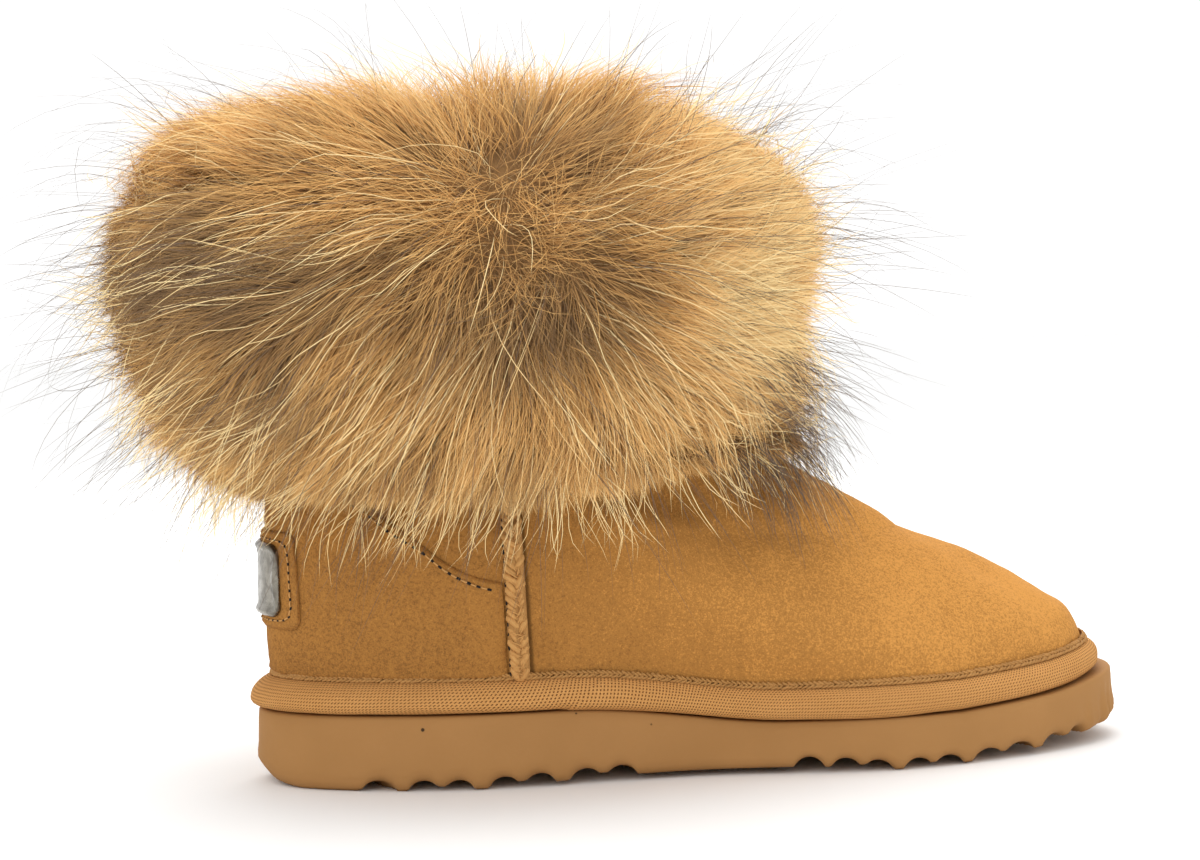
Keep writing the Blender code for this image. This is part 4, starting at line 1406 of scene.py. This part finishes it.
def strands(name, hairs, widths, shades, dice):
    """Flat tapered strands along the hairs. u on their map is along, and v is the shade."""
    path = hairs["path"]
    count, steps = path.shape[:2]
    way = unit(np.gradient(path, axis=1))
    side = unit(np.cross(way, hairs["normals"][:, None, :]))
    over = np.cross(side, way)
    angle = dice.normal(0, STRAND_ROLL, count)[:, None, None]
    side = side * np.cos(angle) + over * np.sin(angle)
    half = 0.5 * widths[None, :-1, None] * dice.uniform(0.7, 1.3, count)[:, None, None]
    left = path[:, :-1] - side[:, :-1] * half
    right = path[:, :-1] + side[:, :-1] * half
    points = np.concatenate((np.stack((left, right), 2).reshape(count, -1, 3), path[:, -1:]), 1)
    per = points.shape[1]
    faces = []
    corners = []
    for k in range(steps - 2):
        a = 2 * k
        faces += [(a, a + 1, a + 3), (a, a + 3, a + 2)]
        corners += [((k, -1), (k, 1), (k + 1, 1)), ((k, -1), (k + 1, 1), (k + 1, -1))]
    a = 2 * (steps - 2)
    faces.append((a, a + 1, a + 2))
    corners.append(((steps - 2, -1), (steps - 2, 1), (steps - 1, 0)))
    faces = np.array(faces)[None] + (np.arange(count) * per)[:, None, None]
    corners = np.array(corners, float)
    u = 0.01 + 0.98 * corners[..., 0] / (steps - 1)
    v = 0.004 * corners[..., 1]
    uv = np.stack(np.broadcast_arrays(u[None], shades[:, None, None] + v[None]), -1)
    return raw_mesh(name, points.reshape(-1, 3), faces.reshape(-1, 3), uv.reshape(-1, 2))


# Darker and paler fields of the coat: name, x, z, half sizes along x and z, and how much
# paler the coat is there
FIELDS = (
    ("whorl", 0.050, 0.154, 0.028, 0.030, -0.24),
    ("rear_shadow", -0.028, 0.152, 0.038, 0.019, -0.56),
    ("low_rear_shadow", -0.016, 0.122, 0.026, 0.012, -0.30),
    ("hem_shadow", 0.040, 0.096, 0.110, 0.018, -0.16),
    ("parting_shadow", 0.055, 0.140, 0.014, 0.008, -0.20),
    ("front_light", 0.108, 0.150, 0.028, 0.034, 0.34),
    ("top_light", 0.040, 0.203, 0.060, 0.010, 0.34),
    ("rear_light", -0.064, 0.150, 0.012, 0.040, 0.10),
)

# Layers of the coat: name, pieces, share of the strands, points along one, length as a share
# of the usual, stand, how far tips stand off the skin and the spread of that, pull into
# tufts, strands in a tuft, width as a share of the usual, and how wild each strand is
LAYERS = (
    ("down", 3, 0.80, 4, 0.60, 0.9, 0.0112, 0.0028, 0.25, 18, 1.0, 0.3),
    ("coat", 2, 0.20, 6, 0.95, 0.75, 0.0136, 0.0035, 0.5, 6, 0.85, 0.16),
)

# Where the bunch of dark hairs hangs at the front: the least x, y and z, and the greatest
BUNCH_BOX = ((0.112, -0.075, 0.082), (1.0, 0.01, 0.128))

# Places where the coat lies flatter: x, z, half sizes along x and z, and by how much
FLAT_PLACES = ((0.118, 0.186, 0.026, 0.024, 0.75), (-0.052, 0.186, 0.018, 0.018, 0.35))


def thinned(points):
    """How far hair stands off the skin, by the place of its root, as a share of the usual."""
    share = np.ones(len(points))
    for x, z, wide, high, flat in FLAT_PLACES:
        away = ((points[:, 0] - x) / wide) ** 2 + ((points[:, 2] - z) / high) ** 2
        share -= flat * np.exp(-away)
    return share


def coat_shade(points, dice, spread):
    """How pale each hair is, from 0 to 1, by its place and by chance."""
    x, z = points[:, 0], points[:, 2]
    shade = 0.5 + 0.10 * lumps(points, 0.018, 71) + 0.06 * lumps(points, 0.006, 72)
    for _, fx, fz, wx, wz, paler in FIELDS:
        shade += paler * np.exp(-(((x - fx) / wx) ** 2) - ((z - fz) / wz) ** 2)
    return (shade + dice.normal(0, spread, len(points))).clip(0.02, 0.98)


# The add-on's settings and steps


class BootSizes(PropertyGroup):
    """Sizes of the boot's finish that a user would change."""

    hair_length: FloatProperty(
        name="Hair length", description="Usual length of the coat's hair",
        default=0.040, min=0.005, max=0.08, subtype="DISTANCE",
    )
    hair_count: IntProperty(
        name="Hairs", description="Number of strands in the coat", default=107000, min=1000,
    )
    hair_width: FloatProperty(
        name="Strand width", description="Width of a strand near its root",
        default=0.0002, min=0.0001, subtype="DISTANCE",
    )
    guard_count: IntProperty(
        name="Guard hairs", description="Number of long pale hairs over the coat",
        default=2000, min=0,
    )
    wisp_count: IntProperty(
        name="Dark wisps", description="Number of thin dark hairs that stand off the coat",
        default=1500, min=0,
    )
    stitch_spacing: FloatProperty(
        name="Stitch spacing", description="From one stitch to the next on the heel counter",
        default=0.0031, min=0.001, subtype="DISTANCE",
    )
    overlock_spacing: FloatProperty(
        name="Overlock spacing", description="From one loop to the next along the tape's edge",
        default=0.0015, min=0.0005, subtype="DISTANCE",
    )


def colour(name, description, default):
    """A colour that the panel shows."""
    return FloatVectorProperty(
        name=name, description=description, default=default, size=3, min=0, max=1,
        subtype="COLOR",
    )


class BootColours(PropertyGroup):
    """Colours of the boot's finish."""

    hide: colour("Suede", "Usual colour of the napped hide", (0.395, 0.18, 0.044))
    hide_deep: colour("Deep suede", "Colour of the brushed-down nap", (0.215, 0.096, 0.027))
    hide_pale: colour("Pale suede", "Colour of the rubbed nap", (0.62, 0.29, 0.07))
    foam: colour("Foam", "Usual colour of the sole", (0.36, 0.182, 0.062))
    foam_deep: colour("Deep foam", "Colour of the sole's darker clouds", (0.31, 0.155, 0.05))
    foam_pale: colour("Pale foam", "Colour of the sole's paler clouds", (0.42, 0.215, 0.076))
    tape: colour("Tape", "Usual colour of the woven tape", (0.50, 0.235, 0.068))
    tape_deep: colour("Tape gaps", "Colour between the yarns", (0.15, 0.06, 0.016))
    tape_pale: colour("Pale tape", "Colour of the tape's high yarns", (0.68, 0.35, 0.12))
    braid: colour("Braid", "Colour of the side seam's thread", (0.66, 0.35, 0.11))
    thread: colour("Thread", "Colour of the counter's stitches", (0.70, 0.41, 0.145))
    fleece: colour("Fleece", "Colour of the lining", (0.70, 0.52, 0.33))
    metal: colour("Plate", "Colour of the heel plate", (0.26, 0.24, 0.20))
    metal_deep: colour("Tarnish", "Colour in the plate's hollows", (0.05, 0.042, 0.034))
    coat_root: colour("Fur root", "Colour of the hair near the skin", (0.32, 0.175, 0.07))
    coat: colour("Fur", "Usual colour of the hair", (0.68, 0.365, 0.115))
    # Partly painted glow: paler than the tips alone, for the backlit rim of the fur.
    coat_tip_and_glow: colour("Fur tip", "Colour of the hair's ends", (0.97, 0.60, 0.225))
    coat_deep: colour("Dark fur", "Colour of the darkest hairs", (0.15, 0.09, 0.05))
    coat_pale: colour("Pale fur", "Colour of the palest hairs", (1.0, 0.84, 0.46))


class BOOT_OT_sole(Operator):
    """Make the foam sole with its lugs"""

    bl_idname = "boot.sole"
    bl_label = "Sole"

    def execute(self, context):
        piece("sole", sole_mesh(SOLE_COLUMNS), "sole_foam", "outsole", dress="foam")
        return {"FINISHED"}


class BOOT_OT_upper(Operator):
    """Make the suede upper, its fleece lining and the insole"""

    bl_idname = "boot.upper"
    bl_label = "Upper and lining"

    def execute(self, context):
        hide = upper_mesh(HIDE_COLUMNS)
        piece("hide_upper", hide, "suede", "upper", dress="hide")
        lining = lining_mesh(LINING_COLUMNS)
        piece("fleece_lining", lining, "fleece", dress="fleece")
        insole = insole_mesh(INSOLE_COLUMNS)
        piece("fleece_insole", insole, "fleece", "insole", dress="fleece")
        return {"FINISHED"}


class BOOT_OT_tape(Operator):
    """Make the rolled tape round the foot and the overlocked row on its top edge"""

    bl_idname = "boot.tape"
    bl_label = "Tape"

    def execute(self, context):
        sizes = context.scene.boot_sizes
        grid = band_grid(TAPE_COLUMNS)
        uv = arc_uv(grid)
        grid = tape_join(grid, uv, TAPE_JOIN_PLACE, TAPE_JOIN_SPREAD)
        mesh = grid_mesh("tape", grid[::-1], uv[::-1], rows_close=True)
        mesh.shade_smooth()
        piece("rolled_tape", mesh, "woven_tape", "binding", dress="twill")

        turns = ring_turns(TAPE_COLUMNS)
        rows = []
        for height, out, slant, seed in OVERLOCK_ROWS:
            rise = rise_at(turns, height + PIECE_GAP, above_seat=True)
            line = upper_out(turns, rise, out)
            normals = upper_normal(turns, rise)
            points, ways, outs = along_line(
                line, normals, sizes.overlock_spacing, closed=True, jitter=0.12, seed=seed
            )
            dice = np.random.default_rng(seed)
            scale = dice.uniform(0.85, 1.2, len(points))
            rows.append(thread_row(
                "overlock", points, ways, outs, scale, *OVERLOCK_THREAD, finish("braid"), slant,
            ))
        piece("overlock_row", merged("overlock", rows), "woven_tape")
        return {"FINISHED"}


class BOOT_OT_overlays(Operator):
    """Make the heel counter, the side seams, the heel patch and its plate"""

    bl_idname = "boot.overlays"
    bl_label = "Counter, seams, patch and plate"

    def execute(self, context):
        sizes = context.scene.boot_sizes
        self.counter(sizes.stitch_spacing)
        for name, side in (("outer", 1), ("inner", -1)):
            self.seam(name, side)
        self.patch()
        self.plate()
        return {"FINISHED"}

    def counter(self, spacing):
        turns, rises = counter_limits(COUNTER_COLUMNS, COUNTER_ROWS)
        relief = edge_groove(0.0003, 0.0030)
        mesh = cushion_slab(
            "counter", turns, rises, PIECE_GAP, COUNTER_THICKNESS, 0.0012, relief
        )
        piece("hide_counter", mesh, "suede", "heel_counter", dress="hide")
        line, normals = counter_stitches(turns, rises, STITCH_INSET)
        row = along_line(line, normals, spacing, jitter=0.05, seed=5)
        scales = np.random.default_rng(6).uniform(0.9, 1.1, len(row[0]))
        thread = (spacing * 0.62, 0.00055, 0.00026)
        stitch_line("counter", row, scales, spacing, 0.00012, thread, 0.00002, COUNTER_HOLE_SHADE)

    def seam(self, name, side):
        outside, inside, turns, rises = seam_grid(side, SEAM_COLUMNS, SEAM_ROWS)
        mesh = sheet_shell(f"seam_{name}", outside, inside)
        piece(f"braid_seam_{name}", mesh, "braid", f"side_seam_{name}", dress="braid")
        rows = []
        for column, spacing, slant, length, bow, radius, tilted, dress in SEAM_THREADS:
            line = outside[:, column]
            normals = upper_normal(turns[:, column], rises[:, column])
            points, ways, outs = along_line(line, normals, spacing, jitter=0.25, seed=column)
            dice = np.random.default_rng(column + 40)
            scale = dice.uniform(0.75, 1.2, len(points))
            tilt = dice.normal(0, tilted, (len(points), 1))
            ways = unit(ways + np.cross(outs, ways) * tilt)
            points = points - outs * radius * 0.9
            rows.append(thread_row(
                "braid", points, ways, outs, scale, length, bow, radius, finish(dress), slant,
            ))
        piece(f"braid_threads_{name}", merged("braid_threads", rows), "braid")

    def patch(self):
        base = PIECE_GAP * 2 + COUNTER_THICKNESS
        turns, rises = plaque_limits(PATCH_WIDTH, PATCH_HEIGHT, 14, 26)
        relief = edge_groove(0.0002, PATCH_STITCH_INSET, 0.0005)
        mesh = cushion_slab("patch", turns, rises, base, PATCH_THICKNESS, 0.0008, relief)
        piece("hide_patch", mesh, "suede", "heel_patch", dress="hide")
        face = base + PATCH_THICKNESS - 0.0001
        line, normals = plaque_ring(PATCH_WIDTH, PATCH_HEIGHT, PATCH_STITCH_INSET, face)
        row = along_line(line, normals, PATCH_STITCH_SPACING, closed=True, seed=7)
        stitch_line(
            "patch", row, np.ones(len(row[0])), PATCH_STITCH_SPACING, 0.0, PATCH_THREAD, 0.00008,
            PATCH_HOLE_SHADE,
        )

    def plate(self):
        base = PIECE_GAP * 3 + COUNTER_THICKNESS + PATCH_THICKNESS
        turns, rises = plaque_limits(PLATE_WIDTH, PLATE_HEIGHT, 16, 34)

        def dish(points, inward):
            rim = 0.00045 * np.exp(-(((inward - 0.0014) / 0.0006) ** 2))
            line = 0.00022 * np.exp(-(((inward - 0.0031) / 0.00035) ** 2))
            return rim + line - 0.00035 * ease(inward, 0.002, 0.003)

        mesh = cushion_slab("plate", turns, rises, base, PLATE_THICKNESS, 0.0006, dish)
        piece("bare_plate", mesh, "plate_metal", "heel_plate", dress="metal")


class BOOT_OT_fur(Operator):
    """Make the fur cuff: its skin, the coat, the long pale hairs and the dark wisps"""

    bl_idname = "boot.fur"
    bl_label = "Fur"

    def execute(self, context):
        sizes = context.scene.boot_sizes
        coat = Coat()
        grid = np.concatenate((coat.skin, coat.seats))
        mesh = tidy_shell(grid_mesh("fur_skin", grid, rows_close=True))
        piece("fur_skin", mesh, "fur", "fur_cuff", dress="skin")
        self.coat(coat, sizes)
        self.guards(coat, sizes)
        self.wisps(coat, sizes)
        return {"FINISHED"}

    def coat(self, coat, sizes):
        for name, pieces, part, steps, *form in LAYERS:
            reach, stand, proud, spread, pull, tuft, width, wild = form
            for k in range(pieces):
                dice = np.random.default_rng([len(name), pieces, k])
                places = coat.scatter(int(sizes.hair_count * part / pieces), dice)
                long = sizes.hair_length * reach
                hairs = grow(coat, places, dice, long, stand, steps, wild=wild)
                count = len(places[0])
                t = np.linspace(0, 1, steps)[None]
                high = (proud + spread * dice.normal(0, 1, (count, 1))).clip(0.003, 0.024)
                high = high * thinned(hairs["roots"])[:, None]
                free = np.clip(hairs["low"][:, None] * 1.2, 0, 1) * np.ones_like(t)
                hold_height(coat, hairs, high * t**0.75, free)
                gather_tufts(hairs, dice, max(count // tuft, 10), pull, 0.0012)
                keep_near(hairs, dice)
                taper = np.sqrt(1 - t[0] ** 2) * (0.8 + 0.4 * t[0])
                shades = coat_shade(hairs["roots"], dice, 0.06)
                shades = shades + dice.normal(0, 0.05, count)[hairs["owner"]]
                widths = sizes.hair_width * width * taper
                mesh = strands(name, hairs, widths, shades.clip(0.02, 0.98), dice)
                piece(f"fur_{name}_{k + 1}", mesh, "fur", dress="coat")

    def guards(self, coat, sizes):
        dice = np.random.default_rng(301)
        spread = coat.scatter(sizes.guard_count, dice, last=44)
        at_hem = coat.scatter(sizes.guard_count // 3, dice, first=6, last=20)
        places = [np.concatenate(pair) for pair in zip(spread, at_hem)]
        hairs = grow(
            coat, places, dice, GUARD_LENGTH, 0.7, len(GUARD_TAPER), weight=0.35,
            overhang=0.016, wild=0.1,
        )
        count, steps = hairs["path"].shape[:2]
        t = np.linspace(0, 1, steps)[None]
        proud = dice.uniform(0.013, 0.024, (count, 1))
        free = np.clip(hairs["low"][:, None] * 1.2 + 0.25 * t, 0, 1)
        hold_height(coat, hairs, proud * t**0.7, free)
        gather_tufts(hairs, dice, count // 3, 0.3, 0.0025)
        keep_near(hairs, dice)
        widths = GUARD_WIDTH * np.array(GUARD_TAPER)
        shades = dice.uniform(0.74, 0.97, count)
        mesh = strands("guards", hairs, widths, shades, dice)
        piece("pale_guard_hairs", mesh, "fur", dress="coat")

    def wisps(self, coat, sizes):
        """Thin dark hairs: some all over, and a bunch that hangs at the front."""
        dice = np.random.default_rng(401)
        row, column = coat.scatter(sizes.wisp_count * 30, dice)
        place = coat.read(coat.skin, row, column)
        low, high = BUNCH_BOX
        bunch = np.all((place > low) & (place < high), axis=1)
        anywhere = np.flatnonzero(~bunch)[: sizes.wisp_count]
        bunch = np.flatnonzero(bunch)[: sizes.wisp_count // 2]
        meshes = []
        steps = len(WISP_TAPER)
        for chosen, (reach, stand, weight, width) in zip((anywhere, bunch), WISP_FORMS):
            places = row[chosen], column[chosen]
            hairs = grow(coat, places, dice, reach, stand, steps, weight=weight, overhang=0.028)
            keep_near(hairs, dice)
            widths = width * np.array(WISP_TAPER)
            shades = dice.uniform(0.02, 0.12, len(chosen))
            made = strands("wisps", hairs, widths, shades, dice)
            made.materials.append(finish("wisp"))
            meshes.append(made)
        piece("dark_wisps", merged("wisps", meshes), "fur")


# The picture: where the boot's photograph was taken from
VIEW_TURN = -13.0
VIEW_TILT = 4.0
VIEW_ROLL = -1.194
VIEW_DISTANCE = 0.9
VIEW_TARGET = (0.1, 0.0, 0.09)
VIEW_LENS = 88.9
PICTURE_WIDTH = 1200
PICTURE_HEIGHT = 860
TARGET_PIXEL = (647.56, 463.13)

# Lamps: name, place, what it is turned to, width, height and power
SOFTBOXES = (
    ("overhead", (0.05, 0.05, 1.15), (0.08, 0.0, 0.08), 0.9, 0.8, 5.0),
    ("front_left", (-0.75, -1.05, 0.75), (0.08, 0.0, 0.08), 0.7, 0.7, 2.5),
    ("rim", (0.35, 1.0, 0.7), (0.06, 0.0, 0.14), 0.9, 0.6, 5.0),
)
WORLD_STRENGTH = 1.1
FLOOR_HALF = 4.0


class BOOT_OT_stage(Operator):
    """Make the floor, the lights and the camera"""

    bl_idname = "boot.stage"
    bl_label = "Stage"

    def execute(self, context):
        self.floor()
        self.lights(context.scene)
        self.camera(context.scene)
        return {"FINISHED"}

    def floor(self):
        signs = ((-1, -1), (1, -1), (1, 1), (-1, 1))
        corners = [(x * FLOOR_HALF, y * FLOOR_HALF, 0) for x, y in signs]
        mesh = bpy.data.meshes.new("floor")
        mesh.from_pydata(corners, [], [(0, 1, 2, 3)])
        paper = Finish("white_paper", 0.9, Specular_IOR_Level=0.1)
        mottle = paper.noise(paper.place(), 0.4, 2.0)
        mesh.materials.append(paper.show(
            Base_Color=paper.blend(mottle, (0.90, 0.90, 0.895), (0.93, 0.93, 0.925))
        ))
        item = bpy.data.objects.new("floor", mesh)
        bpy.context.scene.collection.objects.link(item)

    def lights(self, scene):
        world = bpy.data.worlds.new("white_room")
        world.use_nodes = True
        back = world.node_tree.nodes["Background"]
        back.inputs["Color"].default_value = (1, 1, 1, 1)
        back.inputs["Strength"].default_value = WORLD_STRENGTH
        scene.world = world
        for name, place, target, width, height, power in SOFTBOXES:
            lamp = bpy.data.lights.new(name, "AREA")
            lamp.shape = "RECTANGLE"
            lamp.size = width
            lamp.size_y = height
            lamp.energy = power
            item = bpy.data.objects.new(name, lamp)
            item.location = place
            way = Vector(target) - Vector(place)
            item.rotation_euler = way.to_track_quat("-Z", "Y").to_euler()
            scene.collection.objects.link(item)
        scene.view_settings.view_transform = "Standard"

    def camera(self, scene):
        turn, tilt, roll = (math.radians(a) for a in (VIEW_TURN, VIEW_TILT, VIEW_ROLL))
        forward = Vector((
            -math.sin(turn) * math.cos(tilt), math.cos(turn) * math.cos(tilt), -math.sin(tilt),
        ))
        level = Vector((math.cos(turn), math.sin(turn), 0))
        up = level.cross(forward)
        right = level * math.cos(roll) + up * math.sin(roll)
        over = up * math.cos(roll) - level * math.sin(roll)
        eye = Vector(VIEW_TARGET) - forward * VIEW_DISTANCE
        lens = bpy.data.cameras.new("camera")
        lens.lens = VIEW_LENS
        lens.sensor_width = 36
        lens.shift_x = (PICTURE_WIDTH / 2 - TARGET_PIXEL[0]) / PICTURE_WIDTH
        lens.shift_y = (TARGET_PIXEL[1] - PICTURE_HEIGHT / 2) / PICTURE_WIDTH
        item = bpy.data.objects.new("camera", lens)
        axes = Matrix((right, over, -forward)).transposed().to_4x4()
        item.matrix_world = Matrix.Translation(eye) @ axes
        scene.collection.objects.link(item)
        scene.camera = item


STEPS = (BOOT_OT_sole, BOOT_OT_upper, BOOT_OT_tape, BOOT_OT_overlays, BOOT_OT_fur, BOOT_OT_stage)


class BOOT_PT_panel(Panel):
    """The boot's sizes, colours and making steps"""

    bl_label = "Boot"
    bl_idname = "BOOT_PT_panel"
    bl_space_type = "VIEW_3D"
    bl_region_type = "UI"
    bl_category = "Boot"

    def draw(self, context):
        layout = self.layout
        for group in (context.scene.boot_sizes, context.scene.boot_colours):
            box = layout.box()
            for name in group.__annotations__:
                box.prop(group, name)
        for step in STEPS:
            layout.operator(step.bl_idname)


CLASSES = (BootSizes, BootColours, *STEPS, BOOT_PT_panel)


def register():
    for item in CLASSES:
        bpy.utils.register_class(item)
    bpy.types.Scene.boot_sizes = PointerProperty(type=BootSizes)
    bpy.types.Scene.boot_colours = PointerProperty(type=BootColours)


def unregister():
    del bpy.types.Scene.boot_colours
    del bpy.types.Scene.boot_sizes
    for item in reversed(CLASSES):
        bpy.utils.unregister_class(item)


def main():
    register()
    for step in STEPS:
        group, name = step.bl_idname.split(".")
        getattr(getattr(bpy.ops, group), name)()


if __name__ == "__main__":
    main()
